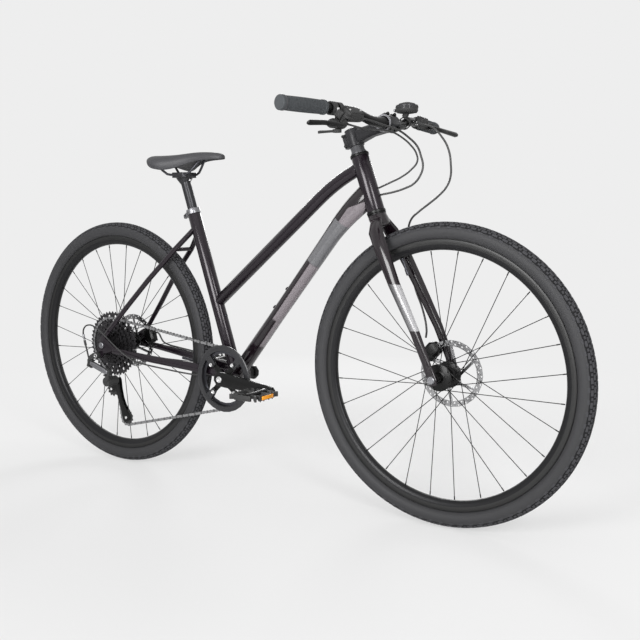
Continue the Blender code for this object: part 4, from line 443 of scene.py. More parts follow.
def shade(tree, noise, colour, swing=0.12):
    """The colour, a little lighter and darker with the noise."""
    ramp = add_node(tree, "ValToRGB", noise.outputs["Fac"])
    low, high = ramp.color_ramp.elements
    low.position = 0.3
    high.position = 0.7
    low.color = [c * (1 - swing) for c in colour[:3]] + [1]
    high.color = [c * (1 + swing) for c in colour[:3]] + [1]
    return ramp.outputs["Color"]


def set_shader(shader, metallic, roughness, coat, level):
    shader.inputs["Metallic"].default_value = metallic
    shader.inputs["Roughness"].default_value = roughness
    shader.inputs["Coat Weight"].default_value = coat
    shader.inputs["Coat Roughness"].default_value = 0.12
    shader.inputs["Coat IOR"].default_value = 1.45
    shader.inputs["Specular IOR Level"].default_value = level


def material(name):
    if name in bpy.data.materials:
        return bpy.data.materials[name]
    if name in PANELS:
        return panel_material(name)
    colour_name, metallic, roughness, coat, scale, depth = FINISHES[name]
    colour = getattr(bpy.context.scene.bike_colours, colour_name)
    mat, tree, shader, coords = nodes_of(name)
    set_shader(shader, metallic, roughness, coat, PAINT_LEVEL if coat == 1.0 else PLAIN_LEVEL)
    noise = grain(tree, shader, coords, scale, depth)
    tree.links.new(shade(tree, noise, colour), shader.inputs["Base Color"])
    return mat


# Painted areas. Each is a list of ranges that all hold there, and its colour. A range is a direction,
# where it starts and ends along that direction, and how far its edges blur

TUBE_RUN = Vector((0.630, 0, 0.777))
TUBE_DROP = Vector((0.777, 0, -0.630))
LEG_FORE = Vector((0.900, 0, 0.436))
LEG_HEIGHT = (Z, 0.468, 0.572, 0.0008)
LEG_SIDE = (Y, -0.1000, -0.0400, 0.0008)
PANELS = {
    # Down tube: the mauve areas are a painted reflection of the studio in the gloss black paint
    "down_tube_paint": (
        (((TUBE_RUN, 0.395, 0.585, 0.004), (TUBE_DROP, -0.2525, -0.2300, 0.0015)), "painted_mauve_reflection"),
        (((TUBE_RUN, 0.305, 0.396, 0.004), (TUBE_DROP, -0.2420, -0.2300, 0.0015)), "painted_mauve_reflection"),
        (((TUBE_RUN, 0.585, 0.718, 0.0008), (TUBE_DROP, -0.2660, -0.2200, 0.0008)), "panel_grey"),
        (((TUBE_RUN, 0.718, 0.800, 0.0008), (TUBE_DROP, -0.2508, -0.2150, 0.0010),
          (TUBE_DROP - TUBE_RUN * 0.683, -0.7698, 0.0, 0.0010)), "painted_mauve_reflection"),
    ),
    "fork_paint": (
        ((LEG_HEIGHT, LEG_SIDE), "fork_silver"),
        # Painted shade: the silver panel darkens to the chain guard's colour over its rear part, in a soft
        # gradient across the leg
        ((LEG_HEIGHT, LEG_SIDE, (LEG_FORE, 0.0, 0.6430, 0.0140)), "guard"),
    ),
}


def panel_material(name):
    """Gloss paint with areas of other colours whose edges are straight, among them painted reflection and
    painted shade.
    """
    colours = bpy.context.scene.bike_colours
    mat, tree, shader, coords = nodes_of(name)
    set_shader(shader, 0.0, 0.30, 1.0, PAINT_LEVEL)
    noise = grain(tree, shader, coords, 350, 0.0)
    colour = shade(tree, noise, colours.frame)
    for ranges, colour_name in PANELS[name]:
        mask = None
        for direction, start, end, blur in ranges:
            dot = add_node(tree, "VectorMath", coords.outputs["Object"], operation="DOT_PRODUCT")
            dot.inputs[1].default_value = direction
            rise = step(tree, dot, start - blur, start + blur)
            fall = step(tree, dot, end + blur, end - blur)
            for edge in (rise, fall):
                if mask is None:
                    mask = edge
                    continue
                both = add_node(tree, "Math", mask, operation="MULTIPLY")
                tree.links.new(edge, both.inputs[1])
                mask = both.outputs["Value"]
        mix = add_node(tree, "Mix", mask, data_type="RGBA")
        tree.links.new(colour, mix.inputs[6])
        mix.inputs[7].default_value = list(getattr(colours, colour_name)[:3]) + [1]
        colour = mix.outputs[2]
    tree.links.new(colour, shader.inputs["Base Color"])
    return mat


def step(tree, source, low, high):
    ramp = add_node(tree, "MapRange", source.outputs["Value"], interpolation_type="SMOOTHSTEP")
    ramp.inputs["From Min"].default_value = min(low, high)
    ramp.inputs["From Max"].default_value = max(low, high)
    ramp.inputs["To Min"].default_value = 0 if low < high else 1
    ramp.inputs["To Max"].default_value = 1 if low < high else 0
    return ramp.outputs["Result"]


# Settings shown in the sidebar


def length(name, text, default):
    return bpy.props.FloatProperty(name=name, description=text, default=default, min=0.0, unit="LENGTH")


def paint(name, text, default):
    return bpy.props.FloatVectorProperty(name=name, description=text, default=default, size=3,
                                         min=0.0, max=1.0, subtype="COLOR")


class BikeSizes(bpy.types.PropertyGroup):
    tread_depth: length("Tread depth", "Height of the tyre's tread blocks", 0.0016)
    spoke_radius: length("Spoke radius", "Radius of a spoke", 0.0010)
    hose_radius: length("Hose radius", "Radius of the brake hoses", 0.0025)
    cable_radius: length("Cable radius", "Radius of the gear cable's casing", 0.0022)
    bolt_radius: length("Bolt radius", "Head radius of the cockpit's bolts", 0.0042)
    grip_groove: length("Grip groove", "Depth of the grooves in the grips", 0.0009)


class BikeColours(bpy.types.PropertyGroup):
    frame: paint("Frame", "Gloss paint of the frame and fork", (0.006, 0.003, 0.005))
    # Painted reflection: the light mauve areas on the down tube stand for the gloss paint's reflection
    painted_mauve_reflection: paint("Mauve grey", "Light panel on the down tube", (0.160, 0.142, 0.153))
    panel_grey: paint("Panel grey", "Dark panel on the down tube", (0.110, 0.110, 0.116))
    fork_silver: paint("Fork silver", "Panel on the fork's legs", (0.340, 0.337, 0.345))
    tyre: paint("Tyre", "Tread rubber", (0.125, 0.125, 0.128))
    sidewall: paint("Sidewall", "Tyre sidewall", (0.036, 0.036, 0.038))
    rim: paint("Rim", "Anodised rim", (0.004, 0.004, 0.004))
    alloy: paint("Black alloy", "Black anodised parts", (0.005, 0.005, 0.006))
    plastic: paint("Black plastic", "Moulded parts", (0.007, 0.007, 0.008))
    grip: paint("Grip", "Rubber of the grips", (0.120, 0.121, 0.126))
    saddle: paint("Saddle", "Cover of the saddle", (0.055, 0.055, 0.058))
    steel: paint("Steel", "Chain and rotors", (0.430, 0.430, 0.440))
    dark_steel: paint("Dark steel", "Cassette and chainring", (0.060, 0.060, 0.064))
    grey: paint("Grey alloy", "Grey parts of the gear and cockpit", (0.130, 0.130, 0.138))
    hose: paint("Hose", "Casing of the hoses", (0.012, 0.012, 0.013))
    reflector: paint("Reflector", "Pedal reflectors", (0.850, 0.330, 0.020))
    # Painted shade: the grooves between the tread blocks, darker than the sidewall of the same casing
    groove: paint("Tread grooves", "Casing between the tread blocks", (0.010, 0.010, 0.011))
    rim_side: paint("Rim side", "Satin inner band of the rims", (0.012, 0.012, 0.013))
    stem: paint("Stem", "Satin stem and faceplate", (0.020, 0.020, 0.022))
    lever: paint("Lever", "Satin control parts", (0.035, 0.035, 0.038))
    cogs: paint("Cogs", "Dark nickel of the cassette", (0.055, 0.053, 0.056))
    chain_inner: paint("Inner links", "Inner plates and rollers of the chain", (0.150, 0.149, 0.150))
    chain_outer: paint("Outer links", "Outer plates of the chain", (0.270, 0.270, 0.275))
    # Also the painted shade over the rear part of the fork's silver panel
    guard: paint("Chain guard", "Ring outside the chainring", (0.022, 0.022, 0.024))
    spacer: paint("Spacers", "Headset spacers", (0.085, 0.085, 0.090))
    post: paint("Seatpost", "Satin post", (0.040, 0.040, 0.043))
    rotor: paint("Rotor", "Brushed steel of the rotors", (0.300, 0.300, 0.305))


def sizes():
    return bpy.context.scene.bike_sizes


def finished():
    """Object mode again, and what an operator returns once its pieces are built."""
    clear()
    return {"FINISHED"}


# Wheels

WHEELS = (("front", FRONT_AXLE, 0.055), ("rear", REAR_AXLE, 0.0675))
RIM_OUTER = 0.3175
TYRE_HALF = 0.0235
TREAD_BLOCKS = 84
ROTOR_INSET = 0.0124
SPOKES_PER_SIDE = 14
SPOKE_CROSSING = 2.55
SPOKE_ROOT_R = 0.0285
SPOKE_END_R = 0.2915


class BIKE_OT_tyres(bpy.types.Operator):
    """Tyres: an open casing with blocks round the tread and the shoulders"""
    bl_idname = "bike.tyres"
    bl_label = "Tyres"

    def execute(self, context):
        depth = sizes().tread_depth
        section = TYRE_HALF - depth
        centre_r = TYRE_R - TYRE_HALF
        outer = []
        for degrees in (-42, -20, 0, 16, 32, 48, 62, 76, 90, 104, 118, 132, 148, 164, 180, 200, 222):
            a = math.radians(degrees)
            outer.append((centre_r + section * math.sin(a), section * math.cos(a)))
        inner = []
        for degrees in (190, 150, 90, 30, -10):
            a = math.radians(degrees)
            inner.append((centre_r + (section - 0.0030) * math.sin(a), (section - 0.0030) * math.cos(a)))
        profile = [(0.3100, 0.0090), (0.3180, 0.0092)] + outer + [(0.3180, -0.0092), (0.3100, -0.0090)]
        profile += [(0.3100, -0.0060), (0.3205, -0.0060)] + inner + [(0.3205, 0.0060), (0.3100, 0.0060)]
        for name, axle, _ in WHEELS:
            casing = lathe(name + "_tyre_casing", profile, axle, Y, 120, angle=60)
            finish(casing, name + "_wheel", "sidewall", name + "_tyre", more=("tread_groove",))
            # The crown of the casing, between the blocks, takes a darker colour as painted shade in the
            # grooves
            crown = centre_r + section * 0.40
            paint_faces(casing, 1, lambda c, n: (c - axle).xz.length > crown)
            knobs = self.knobs(name, axle, section, depth)
            finish(knobs, name + "_wheel", "tyre_rubber")
        return finished()

    def knobs(self, name, axle, section, depth):
        """One pitch of blocks, then copies of it all round."""
        centre_r = TYRE_R - TYRE_HALF
        rows = (
            (0.0, 0.0050, 0.0170, 0.0), (9.0, 0.0034, 0.0110, 0.5), (-9.0, 0.0034, 0.0110, 0.5),
            (24.0, 0.0056, 0.0150, 0.25), (-24.0, 0.0056, 0.0150, 0.25), (24.0, 0.0046, 0.0090, 0.75),
            (-24.0, 0.0046, 0.0090, 0.75), (43.0, 0.0058, 0.0160, 0.0), (-43.0, 0.0058, 0.0160, 0.0),
            (41.0, 0.0046, 0.0080, 0.5), (-41.0, 0.0046, 0.0080, 0.5), (62.0, 0.0052, 0.0130, 0.25),
            (-62.0, 0.0052, 0.0130, 0.25),
        )
        made = []
        for lean, wide, long_, phase in rows:
            a = math.radians(lean)
            r = centre_r + section * math.cos(a)
            y = section * math.sin(a)
            out = depth * 0.5 if abs(lean) < 40 else depth * 0.42
            turn = Matrix.Rotation(-2 * math.pi * phase / TREAD_BLOCKS, 4, "Y")
            matrix = Matrix.Translation(axle) @ turn @ Matrix.Translation((0, y, r))
            matrix = matrix @ Matrix.Rotation(-a, 4, "X") @ Matrix.Translation((0, 0, out - 0.0009))
            made.append(block("knob", (long_ * 0.8, wide, depth), matrix, 0.0004, 1))
        pitch = join(made, "pitch")
        return copies(pitch, round_axis(axle, "Y", TREAD_BLOCKS), name + "_tyre_tread")


class BIKE_OT_rims(bpy.types.Operator):
    """Rims: a deep hooked section and a valve"""
    bl_idname = "bike.rims"
    bl_label = "Rims"

    def execute(self, context):
        half = 0.0125
        profile = [
            (RIM_OUTER - 0.0002, half - 0.0003), (RIM_OUTER - 0.0009, half), (0.3120, half),
            (0.3060, half - 0.0004), (0.2990, half - 0.0022), (0.2950, half - 0.0052),
            (0.2930, half - 0.0090), (0.29255, 0.0), (0.2930, -half + 0.0090), (0.2950, -half + 0.0052),
            (0.2990, -half + 0.0022), (0.3060, -half + 0.0004), (0.3120, -half),
            (RIM_OUTER - 0.0009, -half), (RIM_OUTER - 0.0002, -half + 0.0003),
            (RIM_OUTER - 0.0002, -half + 0.0024), (RIM_OUTER - 0.0014, -half + 0.0030),
            (0.3098, -half + 0.0028), (0.3075, -half + 0.0060), (0.3075, half - 0.0060),
            (0.3098, half - 0.0028), (RIM_OUTER - 0.0014, half - 0.0030),
            (RIM_OUTER - 0.0002, half - 0.0024),
        ]
        for name, axle, _ in WHEELS:
            hoop = lathe(name + "_rim_hoop", profile, axle, Y, 144, angle=30)
            finish(hoop, name + "_wheel", "rim_black", name + "_rim", more=("rim_side",))
            paint_faces(hoop, 1, lambda c, n: (c - axle).xz.length < 0.3065 and abs(c.y) > 0.0035)
            self.valve(name, axle)
        return finished()

    def valve(self, name, axle):
        a = math.radians(112 if name == "front" else -6)
        out = Vector((math.cos(a), 0, math.sin(a)))
        parts = [
            bar("stem", axle + out * 0.262, axle + out * 0.2935, 0.0030, 16),
            bar("cap", axle + out * 0.250, axle + out * 0.266, 0.0038, 12),
            bar("nut", axle + out * 0.2895, axle + out * 0.2925, 0.0052, 6),
        ]
        finish(join(parts, name + "_valve"), name + "_wheel", "dark_steel")


def spoke_point(radius, angle, y):
    return Vector((radius * math.cos(angle), y, radius * math.sin(angle)))


class BIKE_OT_hubs(bpy.types.Operator):
    """Hubs: turned shells with flanges, laced spokes with their nipples, and end caps"""
    bl_idname = "bike.hubs"
    bl_label = "Hubs and spokes"

    def execute(self, context):
        for name, axle, half in WHEELS:
            self.shell(name, axle, half)
            self.lacing(name, axle)
        return finished()

    def shell(self, name, axle, half):
        right = -0.022
        left = 0.026
        seat = half - 0.0136
        profile = [
            (0.0064, -half + 0.0004), (0.0131, -half + 0.0004), (0.0135, -half + 0.0010),
            (0.0135, right - 0.0050), (0.0180, right - 0.0034), (0.0300, right - 0.0030),
            (0.0318, right - 0.0020), (0.0318, right - 0.0008), (0.0300, right), (0.0200, right + 0.0022),
            (0.0165, right + 0.0070), (0.0155, right + 0.0160), (0.0155, left - 0.0160),
            (0.0165, left - 0.0070), (0.0200, left - 0.0022), (0.0300, left), (0.0318, left + 0.0008),
            (0.0318, left + 0.0020), (0.0300, left + 0.0030), (0.0225, left + 0.0034),
            (0.0218, left + 0.0060), (0.0218, seat - 0.0010), (0.0214, seat - 0.0002), (0.0135, seat),
            (0.0135, half - 0.0010), (0.0131, half - 0.0004), (0.0064, half - 0.0004),
        ]
        shell = lathe(name + "_hub_shell", profile, axle, Y, 48, angle=28)
        finish(shell, name + "_wheel", "black_alloy", name + "_hub")

    def lacing(self, name, axle):
        """One spoke with its elbow and nipple for each slant, then its copies round the hub."""
        radius = sizes().spoke_radius
        rows = []
        for side, flange in ((-1, -0.0235), (1, 0.0275)):
            for slant in (-1, 1):
                shift = 0.25 * side
                rim_a = 2 * math.pi * (shift + (0 if slant < 0 else 1)) / SPOKES_PER_SIDE
                hub_a = rim_a + slant * SPOKE_CROSSING * 2 * math.pi / SPOKES_PER_SIDE
                root = spoke_point(SPOKE_ROOT_R, hub_a, flange + slant * 0.0022)
                end = spoke_point(SPOKE_END_R, rim_a, 0.0025 * side + slant * 0.0011)
                along = (end - root).normalized()
                parts = [
                    bar("spoke", axle + root, axle + end, radius, 8),
                    bar("nipple", axle + end - along * 0.0090, axle + end, 0.0015, 8),
                    bar("elbow", axle + root - Y * slant * 0.0045, axle + root + Y * slant * 0.0006,
                        0.0016, 8),
                ]
                rows.append(copies(join(parts, "one"), round_axis(axle, "Y", SPOKES_PER_SIDE // 2)))
        finish(join(rows, name + "_spokes"), name + "_wheel", "black_alloy")


class BIKE_OT_axles(bpy.types.Operator):
    """Axles: a round nut at each end, outside the forks and the dropouts"""
    bl_idname = "bike.axles"
    bl_label = "Axles"

    def execute(self, context):
        for name, axle, _ in WHEELS:
            body = "steering" if name == "front" else "frame"
            dressed(name + "_axle", body, "dark_steel", 0.0007, 2)
            low, high = (Vector(v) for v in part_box(name + "_axle"))
            ends = []
            nut = [(0.0, 0.0), (0.0078, 0.0), (0.0092, 0.0012), (0.0096, 0.0040), (0.0096, 0.0062),
                   (0.0, 0.0062)]
            for side, reach in ((-1, low.y), (1, high.y)):
                face = axle + Y * (reach + side * 0.0004)
                ends.append(lathe("end", nut, face, -Y * side, 24, closed=False, angle=30))
            finish(join(ends, name + "_axle_nuts"), body, "grey_alloy")
        return finished()


class BIKE_OT_rotors(bpy.types.Operator):
    """Brake rotors: the band drilled with two rings of holes, and six bolts"""
    bl_idname = "bike.rotors"
    bl_label = "Brake rotors"

    def execute(self, context):
        for name, axle, half in WHEELS:
            y = half - ROTOR_INSET
            plate = refined(name + "_rotor", 0.0)
            drill = []
            for ring_r, count, start in ((0.0765, 24, 0.0), (0.0700, 24, math.pi / 24)):
                at = axle + X * ring_r + Y * y
                tool = bar("drill", at - Y * 0.004, at + Y * 0.004, 0.0024, 10)
                drill.append(copies(tool, round_axis(axle, "Y", count, start)))
            cutter = join(drill, "cutter")
            modify(plate, "BOOLEAN", operation="DIFFERENCE", object=cutter, solver="EXACT")
            bpy.data.objects.remove(cutter)
            finish(smooth(plate, 30), name + "_wheel", "rotor_steel", name + "_rotor")
            bolt = cap_bolt("bolt", axle + X * 0.0185 + Y * (y + 0.0022), Y, 0.0030, 0.0026)
            bolts = copies(bolt, round_axis(axle, "Y", 6, math.radians(30)), name + "_rotor_bolts")
            finish(bolts, name + "_wheel", "dark_steel")
        return finished()


# Frame


class BIKE_OT_frame_tubes(bpy.types.Operator):
    """Frame tubes and stays in gloss paint, with the seat clamp, bottom bracket, headset cups and bottle
    bolts
    """
    bl_idname = "bike.frame_tubes"
    bl_label = "Frame tubes"

    def execute(self, context):
        # The down tube's material holds a painted reflection in its mauve areas
        paints = {"down_tube": "down_tube_paint"}
        for node in ("head_tube", "top_tube", "down_tube", "seat_tube", "bottom_bracket_shell",
                     "chainstay_right", "chainstay_left", "seatstay_right", "seatstay_left"):
            dressed(node, "frame", paints.get(node, "frame_paint"), 0.0008, 2, quads=True)
        dressed("seat_clamp", "frame", "grey_alloy", 0.0008, 2)
        dressed("bottom_bracket_cartridge", "frame", "dark_steel", 0.0005, 2)
        self.cups()
        self.bosses()
        return finished()

    def cups(self):
        """Headset cups at the head tube's two ends."""
        for name, at, way in (("upper", HEAD_TOP, -1), ("lower", HEAD_BOTTOM, 1)):
            profile = [(0.0217, 0.0), (0.0228, 0.0004), (0.0231, 0.0020), (0.0231, 0.0058),
                       (0.0226, 0.0066), (0.0217, 0.0070)]
            cup = lathe("headset_cup_" + name, profile, at, UP_HEAD * way, 48, angle=30)
            finish(cup, "frame", "black_alloy")

    def bosses(self):
        """Bottle bolts on the seat tube."""
        ahead = Vector((UP_SEAT.z, 0, -UP_SEAT.x))
        made = [cap_bolt("boss", BB + UP_SEAT * h + ahead * 0.0185, ahead, 0.0045, 0.0032)
                for h in (0.165, 0.229)]
        finish(join(made, "seat_tube_bottle_bolts"), "frame", "dark_steel")


class BIKE_OT_fork(bpy.types.Operator):
    """Fork with its crown race and brake mount"""
    bl_idname = "bike.fork"
    bl_label = "Fork"

    def execute(self, context):
        # The fork's material holds painted shade on its silver panel
        dressed("fork", "steering", "fork_paint", 0.0008, 2, quads=True)
        race = [(0.0146, 0.0), (0.0222, 0.0), (0.0226, 0.0006), (0.0226, 0.0022), (0.0220, 0.0030),
                (0.0146, 0.0030)]
        ring = lathe("crown_race", race, HEAD_BOTTOM - UP_HEAD * 0.0035, UP_HEAD, 48, angle=30)
        finish(ring, "steering", "black_alloy")
        return finished()


# Brakes


class BIKE_OT_calipers(bpy.types.Operator):
    """Disc brake calipers with their mount bolts"""
    bl_idname = "bike.calipers"
    bl_label = "Brake calipers"

    def execute(self, context):
        for name, body, angle, axle in (("front", "steering", 137, FRONT_AXLE),
                                        ("rear", "frame", 17, REAR_AXLE)):
            dressed(name + "_caliper", body, "black_alloy")
            a = math.radians(angle)
            out = Vector((math.cos(a), 0, math.sin(a)))
            along = Vector((-math.sin(a), 0, math.cos(a)))
            _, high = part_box(name + "_caliper")
            face = Vector((0, high[1], 0))
            seat = axle + out * 0.071 + face
            disc_shape = [(0.0, 0.0), (0.0085, 0.0), (0.0098, -0.0012), (0.0098, -0.0040), (0.0, -0.0040)]
            cap = lathe(name + "_piston_cap", disc_shape, seat + Y * 0.0008, Y, 32, angle=30)
            finish(cap, body, "grey_alloy")
            bolts = [cap_bolt("bolt", seat + along * s * 0.0175 + out * 0.004, Y, 0.0036, 0.0030)
                     for s in (-1, 1)]
            finish(join(bolts, name + "_caliper_bolts"), body, "dark_steel")
        return finished()


class BIKE_OT_hoses(bpy.types.Operator):
    """Brake hoses and gear cables along their runs"""
    bl_idname = "bike.hoses"
    bl_label = "Hoses and cables"

    def execute(self, context):
        hose_r = sizes().hose_radius
        cable_r = sizes().cable_radius
        front = hose("front_hose_line", millimetres(FRONT_HOSE), hose_r)
        finish(front, "steering", "hose", "front_brake_hose")
        for name, route, radius, node in (
            ("rear_hose_loop", REAR_HOSE_FRONT, hose_r, "rear_brake_hose_front"),
            ("gear_cable_loop", CABLE_FRONT, cable_r, "shift_cable_front"),
        ):
            points = millimetres(route)
            line = hose(name, points, radius)
            line.data.materials.append(material("hose"))
            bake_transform(line)
            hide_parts(node)
        rear = hose("rear_hose_line", millimetres(REAR_HOSE), hose_r)
        finish(rear, "frame", "hose", "rear_brake_hose")
        cable = hose("gear_cable_line", millimetres(CABLE_REAR), cable_r)
        finish(cable, "frame", "hose", "rear_shift_cable")
        top = Vector(CABLE_REAR[-1]) / 1000
        under = Vector(CABLE_REAR[-2]) / 1000
        low_end = top + (under - top).normalized() * 0.016
        ferrule = bar("gear_cable_ferrule", top, low_end, cable_r + 0.0009, 16)
        finish(ferrule, "frame", "grey_alloy")
        return finished()


def millimetres(route):
    return [Vector(p) / 1000 for p in route]


FRONT_HOSE = (
    (394.2, 123.2, 953.6), (394.2, 112, 953.4), (399, 100, 952.4), (418, 97, 948.5), (447, 99, 940),
    (476, 100, 912), (492, 100, 884), (499, 99, 848), (501, 93, 818), (495, 84, 795), (481, 72, 775),
    (462, 61, 757), (441, 51, 739), (420, 50, 720), (408, 57, 690), (406, 67, 650), (407, 71, 620),
    (421, 67, 560), (446, 64, 500), (460, 56, 455), (463, 47, 438),
)
REAR_HOSE_FRONT = (
    (389, -123.2, 944), (389, -112, 943.5), (396, -92, 940), (410, -52, 932), (417, -12, 926),
    (428, 18, 911), (442, 37, 890), (449, 43, 867), (453, 45, 846), (449, 43, 826), (433, 38, 804),
    (412, 31, 793), (387, 23, 785), (356, 15.5, 779),
)
CABLE_FRONT = (
    (362.9, -146.2, 931.7), (386, -112, 923), (397, -66, 923), (404, -22, 922), (413, 10, 912),
    (427, 33, 893), (436, 44, 874), (437, 47, 856), (423, 45, 838), (399, 38, 820), (376, 28, 808),
    (350, 15.5, 795),
)
CABLE_REAR = (
    (-186, -33, 298), (-206, -38, 297), (-240, -47, 300), (-277, -55, 304.5), (-316, -63, 309.5),
    (-362, -73, 316.5), (-395, -79, 323), (-421, -84, 335), (-464, -88, 362), (-512, -89, 395),
    (-545, -89, 413), (-571, -88, 417), (-592, -87, 408), (-600, -85.5, 390), (-597, -84.1, 371.8),
)
REAR_HOSE = (
    (-195, 37, 335.5), (-221, 40.5, 339.1), (-287, 48.5, 344.4), (-353, 56, 349.5), (-395, 60, 354),
    (-417, 60, 361.5), (-425, 58, 374), (-429.5, 56, 384), (-436, 55.1, 388), (-446, 55.1, 384.5),
)


# Drivetrain


class BIKE_OT_cranks(bpy.types.Operator):
    """Crank arms, chainring, chain guard and their bolts"""
    bl_idname = "bike.cranks"
    bl_label = "Cranks"

    def execute(self, context):
        dressed("crank_right", "crankset", "black_alloy", 0.0016, 3)
        dressed("crank_left", "crankset", "black_alloy", 0.0016, 3)
        dressed("chainring", "crankset", "dark_steel", 0.0003, 1)
        dressed("chain_guard", "crankset", "guard_grey", 0.0007, 2)
        low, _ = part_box("chain_guard")
        bolt = cap_bolt("bolt", BB + X * 0.052 + Y * (low[1] - 0.0030), -Y, 0.0052, 0.0030)
        bolts = copies(bolt, round_axis(BB, "Y", 4, math.radians(41)), "chainring_bolts")
        finish(bolts, "crankset", "silver_steel")
        for side, name in ((-1, "right"), (1, "left")):
            face = BB + Y * side * 0.0741
            cap = cap_bolt("crank_bolt_" + name, face, Y * side, 0.0085, 0.0040)
            finish(cap, "crankset", "silver_steel")
        return finished()


def tangent(c1, r1, s1, c2, r2, s2):
    """Where a belt leaves one circle and meets the next, in the XZ plane."""
    a = Vector((c1.x, c1.z))
    b = Vector((c2.x, c2.z))
    gap = b - a
    distance = gap.length
    base = math.atan2(gap.y, gap.x)
    lean = math.acos(max(-1, min(1, (s1 * r1 - s2 * r2) / distance)))
    angle = base + lean
    normal = Vector((math.cos(angle), math.sin(angle)))
    return a + normal * (s1 * r1), b + normal * (s2 * r2)


class BIKE_OT_chain(bpy.types.Operator):
    """Chain: outer and inner links laid round the chainring, the cog and the two pulleys"""
    bl_idname = "bike.chain"
    bl_label = "Chain"

    def execute(self, context):
        path = self.path()
        lengths = [0.0]
        for a, b in zip(path, path[1:] + path[:1]):
            lengths.append(lengths[-1] + (b - a).length)
        count = round(lengths[-1] / PITCH / 2) * 2
        pitch = lengths[-1] / count
        pins = [self.at(path, lengths, pitch * i) for i in range(count)]
        outer = self.link(True)
        inner = self.link(False)
        for master, finish_name in ((outer, "chain_outer"), (inner, "chain_inner")):
            master.data.materials.append(material(finish_name))
        groups = {"top": [], "low": [], "mid": [], "cage": [], "drop": []}
        for i in range(count):
            a = pins[i]
            b = pins[(i + 1) % count]
            centre = (a + b) / 2
            along = (b - a).normalized()
            up = along.cross(Y).normalized()
            across = up.cross(along)
            matrix = Matrix.Translation(centre) @ Matrix((along, across, up)).transposed().to_4x4()
            master = outer if i % 2 else inner
            new = master.copy()
            new.data = master.data.copy()
            bpy.context.collection.objects.link(new)
            place(new, matrix)
            groups[self.group(centre)].append(new)
        bpy.data.objects.remove(outer)
        bpy.data.objects.remove(inner)
        for key, made in groups.items():
            piece = join(made, "chain_" + key)
            if key == "top":
                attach(piece, "frame")
            elif key == "drop":
                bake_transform(piece)
            elif key == "low":
                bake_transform(piece)
            elif key == "mid":
                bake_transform(piece)
            else:
                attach(piece, "derailleur_cage")
            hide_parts("chain")
        return finished()

    def group(self, centre):
        near_pulleys = centre.x < -0.465 and centre.z < 0.247
        if near_pulleys:
            return "cage"
        off_cassette = (centre - REAR_AXLE).xz.length > pitch_radius(38) + 0.0008
        if off_cassette and centre.x < -0.465 and centre.z < REAR_AXLE.z - 0.030:
            return "drop"
        if centre.z < 0.25 and centre.x < -0.29:
            return "mid"
        if centre.z < 0.30 and centre.x < -0.10 and centre.x > -0.40:
            return "low"
        return "top"

    def at(self, path, lengths, distance):
        distance %= lengths[-1]
        for i in range(len(path)):
            if lengths[i] <= distance <= lengths[i + 1]:
                span = lengths[i + 1] - lengths[i]
                share = (distance - lengths[i]) / span if span else 0
                return path[i].lerp(path[(i + 1) % len(path)], share)
        return path[0]

    def path(self):
        circles = (
            (BB, pitch_radius(40), 1, CHAINRING_Y), (TENSION, pitch_radius(11), 1, COG_Y),
            (GUIDE, pitch_radius(11), -1, COG_Y), (REAR_AXLE, pitch_radius(38), 1, COG_Y),
        )
        lines = []
        for i, (c, r, s, y) in enumerate(circles):
            c2, r2, s2, y2 = circles[(i + 1) % 4]
            lines.append(tangent(c, r, s, c2, r2, s2))
        path = []
        for i, (c, r, s, y) in enumerate(circles):
            arrive = lines[i - 1][1]
            leave = lines[i][0]
            a0 = math.atan2(arrive.y - c.z, arrive.x - c.x)
            a1 = math.atan2(leave.y - c.z, leave.x - c.x)
            turn = (a0 - a1) % (2 * math.pi) if s > 0 else (a1 - a0) % (2 * math.pi)
            steps = max(4, round(turn * r / 0.004))
            for k in range(steps + 1):
                a = a0 - s * turn * k / steps
                path.append(Vector((c.x + r * math.cos(a), y, c.z + r * math.sin(a))))
            y2 = circles[(i + 1) % 4][3]
            for share in (0.09, 0.91):
                flat = leave.lerp(lines[i][1], share)
                path.append(Vector((flat.x, y if share < 0.5 else y2, flat.y)))
        return path

    def link(self, wide):
        """Two figure-eight plates with their rollers or pins, along X about the origin."""
        half = 0.0029 if wide else 0.0020
        parts = []
        for side in (-1, 1):
            clear()
            bpy.ops.mesh.primitive_cylinder_add(vertices=10, radius=0.0041, depth=0.0008)
            end = bpy.context.object
            place(end, Matrix.Rotation(math.pi / 2, 4, "X"))
            other = end.copy()
            other.data = end.data.copy()
            bpy.context.collection.objects.link(other)
            place(end, Matrix.Translation((-PITCH / 2, side * half, 0)))
            place(other, Matrix.Translation((PITCH / 2, side * half, 0)))
            clear()
            bpy.ops.mesh.primitive_cube_add(size=1)
            waist = bpy.context.object
            waist.scale = (PITCH, 0.0007, 0.0056)
            settle(waist)
            place(waist, Matrix.Translation((0, side * half, 0)))
            parts += [end, other, waist]
        for x in (-PITCH / 2, PITCH / 2):
            reach = 0.0034 if wide else 0.0019
            radius = 0.0017 if wide else 0.0036
            clear()
            bpy.ops.mesh.primitive_cylinder_add(vertices=8, radius=radius, depth=reach * 2)
            pin = bpy.context.object
            place(pin, Matrix.Translation((x, 0, 0)) @ Matrix.Rotation(math.pi / 2, 4, "X"))
            parts.append(pin)
        return smooth(join(parts, "link"), 35)


